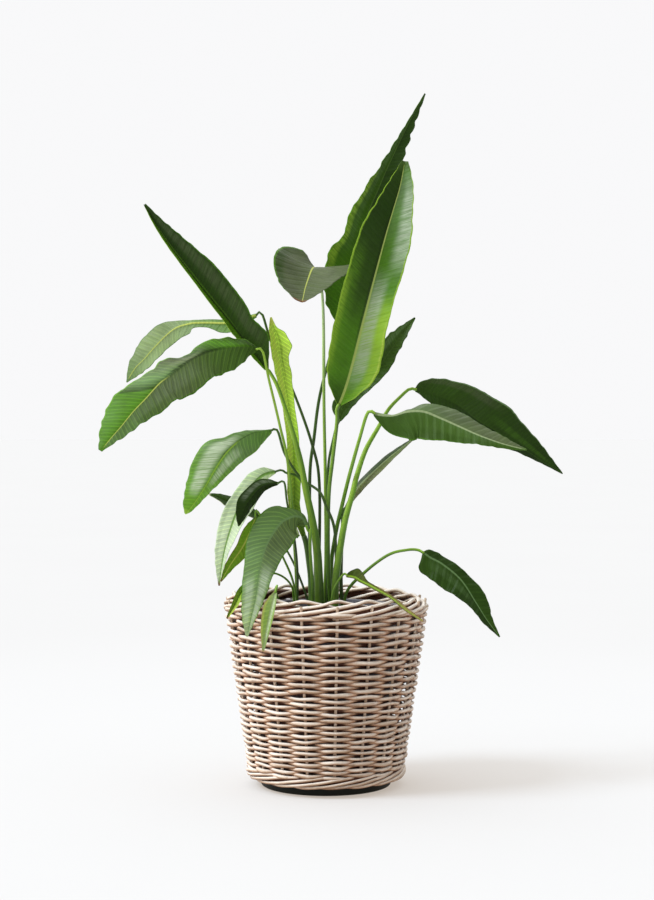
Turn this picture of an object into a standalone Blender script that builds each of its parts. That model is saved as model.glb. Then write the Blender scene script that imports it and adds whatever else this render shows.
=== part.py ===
"""A travelers palm in a plastic nursery pot, which stands inside a woven rattan basket on a dark foot plate.

The model stands on z = 0 with the basket's axis on z, +X to the right and -Y towards the viewer.
Leaf and stem routes are in millimetres, and everything that reaches a mesh is in metres.
"""

import math

import bpy
from mathutils import Vector

MM = 0.001

# Clearance between pieces that rest on or stand in each other
GAP = 0.3 * MM

# Basket: 18 upright stakes, and rows of round strand that each pass over one stake and under the next. The 48 rows
# open up a little towards the top, and two packed rows lie under them. The radii are those of a smooth cone at the
# ends of the rows, and the woven face lies a little inside it
STAKES = 18
STAKE_SHIFT = math.radians(-3.7)
POINTS_PER_STAKE = 3
WEAVE_ROWS = 48
ROW_SLOWNESS = 0.824
PACKED_ROWS = 2
PACKED_PITCH = 3.9 * MM
ROWS_BOTTOM_Z = 37.5 * MM
ROWS_TOP_Z = 264.0 * MM
ROWS_BOTTOM_RADIUS = 114.5 * MM
ROWS_TOP_RADIUS = 147.5 * MM
WEAVE_INSET = 2.0 * MM
WEAVE_RELIEF = 4.2 * MM
WALL_THICKNESS = 11.3 * MM
WALL_FOOT_Z = 29.5 * MM
WALL_CREST_Z = 252.0 * MM
CREST_MARGIN = 2.0 * MM

# Rolled rim on top of the wall and the rope round its foot. Each point of a section: radius and z in mm, and how many
# stakes a rod has passed there. The first two lie flat against the wall
BORDER_POINTS_PER_STAKE = 4
RIM_SECTION = [
    (133.0, 252.3, 0.0), (148.6, 252.3, 5.0), (150.3, 257.5, 4.7), (149.9, 262.5, 4.2), (147.6, 268.0, 3.6),
    (144.4, 272.4, 3.0), (139.8, 277.3, 2.4), (134.8, 281.0, 2.0), (130.4, 279.0, 1.6), (127.8, 272.5, 1.2),
    (129.0, 264.5, 0.7),
]
RIM_RELIEF = 1.3 * MM
RIM_SAG = 8.0 * MM
FOOT_SECTION = [
    (116.0, 29.2, 0.6), (104.5, 29.2, 0.0), (103.8, 21.0, 4.0), (105.8, 15.0, 3.6), (110.5, 12.4, 3.0),
    (114.5, 14.8, 2.5), (116.4, 20.0, 2.0), (116.8, 25.0, 1.4),
]
FOOT_RELIEF = 0.8 * MM

# Woven base, and the dark plate that it stands on
PLATE_RADIUS = 95.0 * MM
PLATE_TOP_Z = 20.2 * MM
BASE_THICKNESS = 8.0 * MM

# Nursery pot and its soil
POT_FOOT_RADIUS = 86.0 * MM
POT_MOUTH_RADIUS = 105.0 * MM
POT_LIP_RADIUS = 110.0 * MM
POT_TOP_Z = 261.0 * MM
POT_LIP_HEIGHT = 12.0 * MM
POT_WALL = 2.4 * MM
SOIL_TOP_Z = 240.0 * MM
STEM_HOLE_DEPTH = 25.0 * MM
STEM_HOLE_SIDES = 8

# Leaves. A blade's edges stand out along its face by a power of the way from the midrib, and wave up and down. A stem
# runs straight for a while before it ends just short of its blade
BLADE_THICKNESS = 0.8 * MM
RIB_HEIGHT = 1.4 * MM
EDGE_WAVE = 2.2 * MM
RIGHT_WAVE_SHIFT = 0.4
CUP_POWER = 1.4
STEM_SIDES = 6
STEM_LEAD = 9.0 * MM
STEM_END_GAP = 0.5 * MM

# Sides of a turned piece, and the angle from which an edge stays sharp
TURNED_SIDES = 36
SHARP_ANGLE = math.radians(40)

COLOURS = {
    "rattan": ((0.50, 0.37, 0.25), 0.62),
    "rattan_dark": ((0.36, 0.25, 0.16), 0.66),
    "plate": ((0.015, 0.018, 0.016), 0.5),
    "pot": ((0.05, 0.05, 0.055), 0.45),
    "soil": ((0.07, 0.045, 0.03), 0.95),
    "dark": ((0.025, 0.075, 0.02), 0.35),
    "green": ((0.06, 0.17, 0.035), 0.35),
    "bright": ((0.13, 0.30, 0.05), 0.38),
    "pale": ((0.33, 0.47, 0.24), 0.4),
    "stem": ((0.22, 0.36, 0.10), 0.42),
    "stem_dark": ((0.06, 0.13, 0.03), 0.42),
}

# Each leaf. face: the way its upper side looks. rows: x, y, z of the midrib in mm from the base to the tip, then
# how far the blade reaches to its left and its right there, as seen facing the upper side with the tip up.
# rise: how far the left and the right edge stand out along face. stem: x, y, z in mm from the soil up.
# radius: of the stem at the soil and at the blade.
LEAVES = {
    "upper_left": dict(
        face=(0, -1, 0), rise=(26, 4), colour="dark", stem_colour="stem", waves=3, radius=(7.5, 2.4),
        rows=[(-86, -5, 607, 3, 3), (-98, -5, 622, 5, 19), (-111, -5, 639, 6, 33), (-128, -3, 660, 7, 30),
              (-145, 0, 682, 6, 34), (-184, 0, 730, 4, 36), (-227, 5, 786, 3, 23), (-250, 8, 820, 2, 12),
              (-266, 10, 849, 1, 2)],
        stem=[(-9, -30, 240), (-10, -29, 290), (-13, -26, 345), (-20, -22, 388), (-29, -18, 430),
              (-41, -14, 489), (-67, -8, 572)],
    ),
    "left_broad": dict(
        face=(0, -1, 0.25), rise=(2, -20), colour="green", stem_colour="stem", waves=4, radius=(2.4, 1.8),
        rows=[(-99, -45, 634, 3, 3), (-113, -52, 638, 18, 13), (-134, -60, 637, 32, 20), (-155, -68, 633, 37, 21),
              (-172, -75, 628, 39, 20), (-184, -80, 622, 40, 14), (-194, -85, 616, 41, 16),
              (-204, -90, 608, 41, 27), (-214, -95, 600, 41, 31), (-224, -100, 592, 39, 28),
              (-235, -105, 583, 36, 31), (-252, -115, 563, 30, 38), (-269, -125, 544, 23, 39),
              (-285, -135, 523, 16, 31), (-298, -143, 507, 9, 20), (-311, -150, 490, 2, 4)],
        stem=[(-42, -16, 240), (-44, -20, 320), (-54, -26, 460), (-67, -32, 526), (-82, -38, 590)],
    ),
    "left_back": dict(
        face=(0, 1, -0.2), rise=(6, -6), colour="pale", stem_colour="stem_dark", waves=3, radius=(2.5, 1.8),
        rows=[(-103, 40, 688, 3, 3), (-125, 48, 681, 6, 10), (-147, 55, 677, 7, 16), (-175, 64, 678, 6, 8),
              (-197, 70, 678, 6, 8), (-205, 73, 677, 7, 16), (-224, 80, 672, 12, 19), (-241, 90, 661, 21, 18),
              (-261, 100, 642, 25, 17), (-278, 108, 624, 22, 16), (-291, 115, 612, 14, 13), (-305, 125, 591, 1, 1)],
        stem=[(-12, 30, 240), (-10, 30, 330), (-10, 30, 441), (-20, 30, 495), (-46, 32, 569), (-80, 36, 645)],
    ),
    "young_rolled": dict(
        face=(0, -1, 0), rise=(9, 9), colour="bright", stem_colour="stem", waves=0, radius=(5.0, 4.2),
        rows=[(-32, 18, 360, 3, 3), (-46, 21, 405, 8, 8), (-47, 22, 445, 10, 10), (-49, 22, 504, 9, 9),
              (-56, 20, 562, 9, 9), (-63, 18, 602, 11, 12), (-67, 18, 622, 11, 12), (-70, 17, 638, 11, 20),
              (-73, 16, 655, 9, 15), (-77, 16, 668, 7, 5), (-81, 15, 684, 1, 1)],
        stem=[(-21, 10, 240), (-22, 12, 294), (-26, 15, 331)],
    ),
    "centre_arched": dict(
        face=(0, -0.57, 0.82), rise=(9, 27), colour="green", stem_colour="stem", waves=2, radius=(2.8, 2.0),
        rows=[(-12, 40, 755, 3, 3), (-14, 34, 757, 24, 20), (-17, 26, 759, 56, 47), (-21, 4, 753, 60, 51),
              (-26, -22, 737, 50, 50), (-30, -45, 722, 37, 41), (-32, -64, 710, 20, 30), (-34, -80, 700, 5, 10)],
        stem=[(-3, 8, 240), (0, 12, 330), (-1, 18, 450), (-3, 24, 560), (-4, 34, 690)],
    ),
    "crown_back": dict(
        face=(0, -1, 0), rise=(10, 6), colour="dark", stem_colour="stem_dark", waves=4, radius=(3.0, 2.2),
        rows=[(20, 46, 676, 3, 3), (24, 48, 690, 20, 12), (30, 50, 718, 33, 22), (40, 55, 765, 40, 28),
              (50, 57, 800, 27, 28), (62, 60, 840, 24, 26), (77, 60, 875, 18, 22), (92, 60, 910, 11, 18),
              (122, 60, 973, 3, 10), (148, 60, 1020, 1, 1)],
        stem=[(-22, 40, 240), (-24, 42, 340), (-24, 46, 452), (-18, 50, 505), (-8, 50, 575)],
    ),
    "crown_front": dict(
        face=(0, -1, 0), rise=(20, 18), colour="bright", stem_colour="stem", waves=2, radius=(3.5, 2.6),
        rows=[(19, -16, 555, 3, 3), (28, -18, 578, 25, 22), (38, -20, 612, 36, 39), (57, -20, 687, 41, 35),
              (84, -20, 790, 38, 38), (97, -15, 835, 28, 29), (108, -10, 873, 18, 19), (115, -5, 910, 4, 5)],
        stem=[(8, -10, 240), (3, -10, 330), (4, -11, 420), (10, -13, 478), (16, -15, 530)],
    ),
    "right_inner": dict(
        face=(0, -1, 0), rise=(8, 8), colour="dark", stem_colour="stem_dark", waves=2, radius=(2.5, 1.8),
        rows=[(20, 10, 532, 2, 2), (25, 12, 541, 20, 5), (35, 16, 558, 20, 7), (55, 22, 582, 22, 10),
              (80, 35, 614, 22, 14), (107, 50, 652, 15, 9), (133, 60, 686, 1, 1)],
        stem=[(2, 36, 240), (3, 36, 330), (3, 32, 420), (4, 24, 470), (12, 14, 510)],
    ),
    "right_high": dict(
        face=(0, -1, 0.3), rise=(-6, -8), colour="dark", stem_colour="stem", waves=4, radius=(6.0, 2.2),
        rows=[(133, 44, 578, 3, 3), (141, 46, 577, 15, 6), (156, 50, 573, 24, 12), (178, 58, 566, 31, 20),
              (201, 65, 554, 37, 24), (229, 80, 533, 46, 24), (252, 88, 520, 45, 21), (274, 95, 506, 40, 14),
              (318, 110, 478, 23, 5), (362, 120, 451, 1, 1)],
        stem=[(12, -33, 240), (14, -33, 300), (21, -30, 350), (28, -26, 388), (38, -20, 424), (45, -14, 452),
              (58, -2, 489), (77, 14, 522), (92, 28, 548), (110, 38, 567)],
    ),
    "right_broad": dict(
        face=(0, -1, 0.3), rise=(-22, -4), colour="green", stem_colour="stem", waves=4, radius=(3.2, 2.4),
        rows=[(69, -45, 542, 3, 3), (82, -47, 540, 4, 16), (97, -50, 540, 4, 31), (116, -56, 545, 9, 43),
              (139, -62, 545, 19, 41), (162, -70, 536, 27, 37), (186, -80, 525, 25, 26), (214, -95, 512, 19, 15),
              (240, -108, 502, 14, 8), (260, -115, 496, 8, 5), (281, -120, 491, 1, 1)],
        stem=[(10, 22, 240), (8, 22, 300), (9, 20, 332), (13, 14, 358), (17, 8, 380), (24, -2, 410),
              (30, -12, 436), (36, -22, 460), (48, -35, 504)],
    ),
    "right_narrow": dict(
        face=(0, -1, 0), rise=(-13, 13), colour="dark", stem_colour="stem_dark", waves=0, radius=(3.0, 2.2),
        rows=[(29, 2, 404, 2, 2), (45, 0, 432, 4, 7), (64, 0, 452, 5, 7), (94, 5, 479, 5, 5), (130, 10, 507, 1, 1)],
        stem=[(25, 4, 240), (22, 4, 300), (24, 4, 370)],
    ),
    "left_middle": dict(
        face=(0, -1, 0.3), rise=(4, -12), colour="green", stem_colour="stem_dark", waves=3, radius=(2.3, 1.8),
        rows=[(-79, -22, 517, 3, 3), (-92, -27, 516, 15, 4), (-105, -34, 514, 23, 8), (-122, -42, 505, 28, 16),
              (-133, -47, 496, 28, 21), (-145, -52, 483, 27, 37), (-158, -61, 463, 21, 36),
              (-169, -70, 443, 14, 31), (-181, -80, 423, 8, 23), (-193, -87, 406, 4, 12),
              (-199, -90, 400, 1, 2)],
        stem=[(16, -20, 240), (15, -20, 320), (12, -20, 376), (0, -20, 408), (-9, -14, 428), (-29, -3, 442),
              (-41, -5, 453), (-60, -17, 484)],
    ),
    "left_pale": dict(
        face=(0, -1, 0), rise=(8, -4), colour="pale", stem_colour="stem_dark", waves=2, radius=(2.3, 1.6),
        rows=[(-74, 8, 457, 2, 2), (-92, 6, 452, 10, 12), (-108, 5, 437, 16, 16), (-122, 2, 415, 20, 17),
              (-134, 0, 390, 16, 19), (-146, -5, 352, 9, 16), (-152, -8, 322, 4, 10), (-156, -10, 291, 1, 1)],
        stem=[(-17, -6, 240), (-16, -2, 340), (-20, 2, 380), (-27, 5, 415), (-33, 8, 438), (-43, 9, 451),
              (-58, 8, 455)],
    ),
    "left_dark": dict(
        face=(0, -1, 0), rise=(-10, 4), colour="dark", stem_colour="stem_dark", waves=0, radius=(1.8, 1.5),
        rows=[(-69, -35, 441, 2, 2), (-92, -40, 436, 8, 12), (-112, -48, 413, 8, 15), (-120, -54, 395, 5, 10),
              (-125, -60, 381, 1, 1)],
        stem=[(-42, -37, 240), (-41, -37, 311), (-46, -37, 365), (-56, -37, 413)],
    ),
    "front_drooping": dict(
        face=(0, -1, 0.35), rise=(2, -8), colour="dark", stem_colour="stem", waves=5, radius=(2.8, 2.0),
        rows=[(-28, -53, 380, 3, 3), (-33, -55, 391, 20, 6), (-42, -58, 395, 30, 12), (-52, -61, 393, 31, 20),
              (-66, -68, 384, 33, 33), (-84, -87, 356, 30, 30), (-93, -106, 325, 23, 23),
              (-98, -128, 286, 13, 20), (-104, -141, 258, 7, 13), (-109, -150, 233, 1, 2)],
        stem=[(-19, -48, 240), (-20, -50, 300), (-23, -52, 350), (-22, -53, 376)],
    ),
    "left_low": dict(
        face=(0, -1, 0), rise=(-6, 4), colour="bright", stem_colour="stem", waves=0, radius=(1.8, 1.4),
        rows=[(-101, -44, 392, 2, 2), (-108, -46, 374, 7, 10), (-120, -50, 350, 12, 9), (-137, -58, 325, 7, 7),
              (-150, -65, 302, 1, 1)],
        stem=[(-40, -54, 240), (-45, -50, 291), (-60, -44, 331)],
    ),
    "left_narrow": dict(
        face=(0, -1, 0), rise=(12, -12), colour="dark", stem_colour="stem_dark", waves=0, radius=(1.8, 1.5),
        rows=[(-89, 30, 385, 2, 2), (-108, 28, 395, 6, 6), (-127, 25, 405, 7, 8), (-143, 22, 412, 7, 8),
              (-158, 19, 419, 4, 5), (-173, 15, 424, 1, 1)],
        stem=[(-24, -18, 240), (-26, -16, 268), (-44, -4, 316), (-60, 8, 346)],
    ),
    "left_rim": dict(
        face=(0, -1, 0.4), rise=(3, 3), colour="bright", stem_colour="stem", waves=0, radius=(1.7, 1.4),
        rows=[(-102, -52, 303, 2, 2), (-113, -72, 297, 4, 4), (-121, -87, 287, 5, 5), (-128, -99, 273, 5, 4),
              (-139, -108, 254, 1, 1)],
        stem=[(-47, -26, 240), (-49, -29, 290), (-72, -38, 311)],
    ),
    "front_small": dict(
        face=(0, -1, 0.3), rise=(2, 2), colour="bright", stem_colour="stem", waves=0, radius=(1.7, 1.4),
        rows=[(-70, -138, 294, 2, 2), (-76, -147, 272, 6, 11), (-83, -147, 240, 5, 7), (-87, -144, 211, 1, 1)],
        stem=[(-58, -62, 240), (-62, -66, 262), (-70, -84, 284), (-71, -112, 295)],
    ),
    "right_low": dict(
        face=(0, -1, 0.3), rise=(-4, -4), colour="dark", stem_colour="stem", waves=4, radius=(2.5, 2.0),
        rows=[(141, -20, 340, 3, 3), (145, -22, 338, 9, 17), (152, -24, 333, 12, 25), (169, -30, 324, 12, 28),
              (195, -40, 302, 14, 26), (216, -48, 270, 18, 11), (231, -54, 246, 9, 7), (249, -60, 222, 1, 1)],
        stem=[(27, -18, 240), (30, -18, 282), (57, -19, 312), (91, -20, 337), (118, -20, 344)],
    ),
    "right_rim": dict(
        face=(0, -1, 0.2), rise=(4, 4), colour="bright", stem_colour="stem", waves=0, radius=(2.0, 1.6),
        rows=[(30, -48, 309, 2, 2), (41, -62, 308, 12, 3), (49, -73, 304, 10, 3), (57, -84, 301, 4, 3),
              (66, -95, 297, 3, 3), (91, -115, 284, 3, 2), (113, -127, 267, 3, 2), (136, -133, 252, 1, 1)],
        stem=[(8, -54, 240), (10, -52, 285)],
    ),
}

LARGE_BLADE_LENGTH = 150 * MM
LARGE_BLADE_STATIONS = 14
SMALL_BLADE_STATIONS = 9
STEM_STATIONS = 9


def clear_scene():
    for obj in list(bpy.data.objects):
        bpy.data.objects.remove(obj, do_unlink=True)


def material(name, key):
    """A Principled material in one of the listed colours."""
    colour, roughness = COLOURS[key]
    made = bpy.data.materials.new(name)
    made.use_nodes = True
    shader = made.node_tree.nodes["Principled BSDF"]
    shader.inputs["Base Color"].default_value = (*colour, 1.0)
    shader.inputs["Roughness"].default_value = roughness
    made.diffuse_color = (*colour, 1.0)
    return made


def add_object(name, points, faces, key):
    mesh = bpy.data.meshes.new(name)
    mesh.from_pydata([tuple(p) for p in points], [], faces)
    mesh.shade_smooth()
    mesh.set_sharp_from_angle(angle=SHARP_ANGLE)
    mesh.materials.append(material(name, key))
    obj = bpy.data.objects.new(name, mesh)
    bpy.context.scene.collection.objects.link(obj)
    return obj


def ring_shell(rings):
    """Points and faces of a closed band: rings of equal length, each joined to the next and the last to the first."""
    count = len(rings[0])
    points = [p for ring in rings for p in ring]
    faces = []
    for i in range(len(rings)):
        below, above = i * count, (i + 1) % len(rings) * count
        for j in range(count):
            k = (j + 1) % count
            faces.append((below + j, below + k, above + k, above + j))
    return points, faces


def turned_point(angle, radius, z):
    return Vector((radius * math.cos(angle), radius * math.sin(angle), z))


def turned_ring(radius, z, count):
    return [turned_point(math.tau * j / count, radius, z) for j in range(count)]


def turned_solid(name, profile, key):
    """A solid of revolution. The profile is radius and z pairs, up the outer side from the axis and back to it."""
    count = TURNED_SIDES
    points = [Vector((0, 0, profile[0][1]))]
    for radius, z in profile:
        points += turned_ring(radius, z, count)
    points.append(Vector((0, 0, profile[-1][1])))
    faces = []
    for j in range(count):
        faces.append((0, 1 + (j + 1) % count, 1 + j))
    for i in range(len(profile) - 1):
        below, above = 1 + i * count, 1 + (i + 1) * count
        for j in range(count):
            k = (j + 1) % count
            faces.append((below + j, below + k, above + k, above + j))
    last = 1 + (len(profile) - 1) * count
    for j in range(count):
        faces.append((last + j, last + (j + 1) % count, len(points) - 1))
    return add_object(name, points, faces, key)


def wall_radius(z):
    """The cone that the weave's outer face follows."""
    t = (z - ROWS_BOTTOM_Z) / (ROWS_TOP_Z - ROWS_BOTTOM_Z)
    return ROWS_BOTTOM_RADIUS + t * (ROWS_TOP_RADIUS - ROWS_BOTTOM_RADIUS)


def row_levels():
    """Heights of the strand rows from the bottom up, the packed ones first."""
    levels = []
    for row in range(WEAVE_ROWS):
        t = (row + 0.5) / WEAVE_ROWS
        rise = ROW_SLOWNESS * t + (1 - ROW_SLOWNESS) * t * t
        levels.append(ROWS_BOTTOM_Z + (ROWS_TOP_Z - ROWS_BOTTOM_Z) * rise)
    packed = [levels[0] - PACKED_PITCH * n for n in range(PACKED_ROWS, 0, -1)]
    return packed + levels


def woven_ring(z, inset, relief, row):
    """A ring of points that swells over every second stake, and over the others in the next row."""
    count = POINTS_PER_STAKE * STAKES
    ring = []
    for j in range(count):
        turn = math.tau * j / count
        swell = relief * math.cos(STAKES / 2 * turn + math.pi * row)
        ring.append(turned_point(STAKE_SHIFT + turn, wall_radius(z) - inset + swell, z))
    return ring


def make_basket_wall():
    """The woven wall: outside, one ring of points a strand row between plain edges, and a plain inner side."""
    rings = [woven_ring(WALL_FOOT_Z, WEAVE_INSET, 0, 0)]
    for row, z in enumerate(row_levels()):
        if z < WALL_CREST_Z - CREST_MARGIN:
            rings.append(woven_ring(z, WEAVE_INSET, WEAVE_RELIEF, row))
    rings.append(woven_ring(WALL_CREST_Z, WEAVE_INSET, 0, 0))
    for z in (WALL_CREST_Z, WALL_FOOT_Z):
        rings.append(woven_ring(z, WALL_THICKNESS, 0, 0))
    points, faces = ring_shell(rings)
    return add_object("basket_wall", points, faces, "rattan")


def make_border(name, section, relief, sag, key):
    """A rolled border with the given section. It bulges along each rod, and its crest sags towards the right."""
    seat_z = section[0][1]
    middle_radius = sum(point[0] for point in section) / len(section)
    middle_z = sum(point[1] for point in section) / len(section)
    reach = max(abs(point[1] - seat_z) for point in section)
    count = BORDER_POINTS_PER_STAKE * STAKES
    rings = []
    for j in range(count):
        turn = math.tau * j / count
        angle = STAKE_SHIFT + turn
        drop = sag * max(math.cos(angle), 0) ** 4
        ring = []
        for radius, z, passed in section:
            away = Vector((radius - middle_radius, z - middle_z)).normalized()
            height = abs(z - seat_z) / reach
            bulge = relief * math.cos(STAKES * turn + math.tau * passed) if height > 0 else 0.0
            ring.append(turned_point(angle, radius * MM + bulge * away.x, z * MM + bulge * away.y - drop * height))
        rings.append(ring)
    points, faces = ring_shell(rings)
    return add_object(name, points, [tuple(reversed(face)) for face in faces], key)


def make_borders():
    make_border("basket_rim", RIM_SECTION, RIM_RELIEF, RIM_SAG, "rattan")
    make_border("basket_foot_border", FOOT_SECTION, FOOT_RELIEF, 0, "rattan_dark")


def make_base_and_plate():
    base_radius = min(point[0] for point in FOOT_SECTION) * MM - FOOT_RELIEF - GAP
    bottom = PLATE_TOP_Z + GAP
    turned_solid("basket_base", [(base_radius, bottom), (base_radius, bottom + BASE_THICKNESS)], "rattan_dark")
    edge = 1.5 * MM
    plate = [(PLATE_RADIUS - edge, 0), (PLATE_RADIUS, edge), (PLATE_RADIUS, PLATE_TOP_Z)]
    turned_solid("foot_plate", plate, "plate")


def pot_radius(z, pot_bottom):
    t = (z - pot_bottom) / (POT_TOP_Z - pot_bottom)
    return POT_FOOT_RADIUS + t * (POT_MOUTH_RADIUS - POT_FOOT_RADIUS)


def make_pot():
    bottom = PLATE_TOP_Z + BASE_THICKNESS + 2 * GAP
    lip_z = POT_TOP_Z - POT_LIP_HEIGHT
    floor_z = bottom + POT_WALL
    inside_mouth = POT_MOUTH_RADIUS - POT_WALL
    inside_floor = pot_radius(floor_z, bottom) - POT_WALL
    profile = [
        (POT_FOOT_RADIUS, bottom),
        (pot_radius(lip_z, bottom), lip_z),
        (POT_LIP_RADIUS, lip_z),
        (POT_LIP_RADIUS, POT_TOP_Z),
        (inside_mouth, POT_TOP_Z),
        (inside_floor, floor_z),
    ]
    turned_solid("nursery_pot", profile, "pot")
    make_soil(bottom)


def make_soil(pot_bottom):
    """The soil fills the pot to just under its rim, with a plain round hole for each stem."""
    bottom = pot_bottom + POT_WALL + GAP
    slack = POT_WALL + 2 * GAP
    low, high = pot_radius(bottom, pot_bottom) - slack, pot_radius(SOIL_TOP_Z, pot_bottom) - slack
    soil = turned_solid("soil", [(low, bottom), (high, SOIL_TOP_Z)], "soil")
    points, faces = [], []
    for leaf in LEAVES.values():
        x, y = (value * MM for value in leaf["stem"][0][:2])
        reach = (leaf["radius"][0] * MM + GAP) / math.cos(math.pi / STEM_HOLE_SIDES)
        first = len(points)
        for z in (SOIL_TOP_Z - STEM_HOLE_DEPTH, SOIL_TOP_Z + STEM_HOLE_DEPTH):
            for j in range(STEM_HOLE_SIDES):
                angle = math.tau * j / STEM_HOLE_SIDES
                points.append(Vector((x + reach * math.cos(angle), y + reach * math.sin(angle), z)))
        low_ring = [first + j for j in range(STEM_HOLE_SIDES)]
        high_ring = [first + STEM_HOLE_SIDES + j for j in range(STEM_HOLE_SIDES)]
        faces.append(tuple(reversed(low_ring)))
        faces.append(tuple(high_ring))
        for j in range(STEM_HOLE_SIDES):
            k = (j + 1) % STEM_HOLE_SIDES
            faces.append((low_ring[j], low_ring[k], high_ring[k], high_ring[j]))
    cutter = add_object("stem_holes", points, faces, "soil")
    cutter.hide_render = True
    cutter.display_type = "WIRE"
    cut = soil.modifiers.new("stem holes", "BOOLEAN")
    cut.operation = "DIFFERENCE"
    cut.object = cutter


def smooth_value(rows, where):
    """Catmull-Rom value at where, from 0 at the first row to len(rows) - 1 at the last."""
    i = min(int(where), len(rows) - 2)
    t = where - i
    before, start, end, after = (rows[min(max(i + k, 0), len(rows) - 1)] for k in (-1, 0, 1, 2))
    value = []
    for a, b, c, d in zip(before, start, end, after):
        second, third = 2 * a - 5 * b + 4 * c - d, 3 * b - a - 3 * c + d
        value.append(0.5 * (2 * b + (c - a) * t + second * t * t + third * t ** 3))
    return value


def even_stations(rows, count):
    """Values at count stations spaced evenly along the smooth line through the rows' first three numbers."""
    fine = 24 * (len(rows) - 1)
    samples = [smooth_value(rows, (len(rows) - 1) * i / fine) for i in range(fine + 1)]
    lengths = [0.0]
    for a, b in zip(samples, samples[1:]):
        lengths.append(lengths[-1] + math.dist(a[:3], b[:3]))
    found, i = [], 0
    for n in range(count):
        target = lengths[-1] * n / (count - 1)
        while i < fine - 1 and lengths[i + 1] < target:
            i += 1
        share = (target - lengths[i]) / (lengths[i + 1] - lengths[i])
        found.append([a + share * (b - a) for a, b in zip(samples[i], samples[i + 1])])
    return found, lengths[-1]


def blade_grid(leaf, count):
    """The upper face of a blade: for each station five points from the left edge to the right one."""
    stations, _ = even_stations(leaf["rows"], count)
    face = Vector(leaf["face"]).normalized()
    spine = [Vector(row[:3]) * MM for row in stations]
    widest = max(row[3] + row[4] for row in stations)
    grid = []
    for i, row in enumerate(stations):
        along = (spine[min(i + 1, count - 1)] - spine[max(i - 1, 0)]).normalized()
        outward = (face - face.dot(along) * along).normalized()
        side = along.cross(outward)
        left, right = (max(value, 1.0) * MM for value in row[3:5])
        share = (row[3] + row[4]) / widest
        t = i / (count - 1)
        line = []
        for part in (-1.0, -0.5, 0.0, 0.5, 1.0):
            width = left if part < 0 else right
            rise = leaf["rise"][0 if part < 0 else 1] * MM * share * abs(part) ** CUP_POWER
            shift = 0.0 if part < 0 else RIGHT_WAVE_SHIFT
            wave = EDGE_WAVE * share * part * part * math.sin(math.tau * (leaf["waves"] * t + shift))
            line.append(spine[i] + side * (width * part) + outward * (rise + wave))
        grid.append(line)
    return grid


def grid_normals(grid):
    """Unit normals of the grid's upper side."""
    rows, columns = len(grid), len(grid[0])
    normals = []
    for i in range(rows):
        line = []
        for j in range(columns):
            along = grid[min(i + 1, rows - 1)][j] - grid[max(i - 1, 0)][j]
            across = grid[i][min(j + 1, columns - 1)] - grid[i][max(j - 1, 0)]
            line.append(across.cross(along).normalized())
        normals.append(line)
    return normals


def make_blade(name, leaf):
    """A thin closed blade. Both faces are split into triangles along the same diagonals, so they never cross."""
    length = even_stations(leaf["rows"], 2)[1] * MM
    count = LARGE_BLADE_STATIONS if length > LARGE_BLADE_LENGTH else SMALL_BLADE_STATIONS
    grid = blade_grid(leaf, count)
    normals = grid_normals(grid)
    columns = len(grid[0])
    middle = columns // 2
    under = []
    for i in range(count):
        line = []
        for j in range(columns):
            rib = RIB_HEIGHT * (1 - i / (count - 1)) if j == middle else 0.0
            line.append(grid[i][j] - normals[i][j] * (BLADE_THICKNESS + rib))
        under.append(line)
    points = [p for line in grid for p in line] + [p for line in under for p in line]
    size = count * columns

    def top(i, j):
        return i * columns + j

    def low(i, j):
        return size + i * columns + j

    faces = []
    for i in range(count - 1):
        for j in range(columns - 1):
            faces += [(top(i, j), top(i, j + 1), top(i + 1, j + 1)), (top(i, j), top(i + 1, j + 1), top(i + 1, j))]
            faces += [(low(i, j), low(i + 1, j + 1), low(i, j + 1)), (low(i, j), low(i + 1, j), low(i + 1, j + 1))]
        last = columns - 1
        faces += [(low(i, 0), top(i, 0), top(i + 1, 0)), (low(i, 0), top(i + 1, 0), low(i + 1, 0))]
        faces += [(top(i, last), low(i, last), low(i + 1, last)), (top(i, last), low(i + 1, last), top(i + 1, last))]
    for j in range(columns - 1):
        faces += [(low(0, j), low(0, j + 1), top(0, j + 1)), (low(0, j), top(0, j + 1), top(0, j))]
        end = count - 1
        faces += [(top(end, j), top(end, j + 1), low(end, j + 1)), (top(end, j), low(end, j + 1), low(end, j))]
    return add_object(name, points, faces, leaf["colour"])


def stem_route(leaf):
    """The stem's points from the bottom of its hole, through its own list, to just short of the blade."""
    start, following = (Vector(row[:3]) for row in leaf["rows"][:2])
    along = (following - start).normalized()
    x, y, soil_z = leaf["stem"][0]
    bottom = soil_z - (STEM_HOLE_DEPTH - GAP) / MM
    route = [(x, y, bottom), (x, y, soil_z + 2)]
    route += leaf["stem"][1:]
    route.append(tuple(start - along * STEM_LEAD / MM))
    route.append(tuple(start - along * STEM_END_GAP / MM))
    return route


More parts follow.
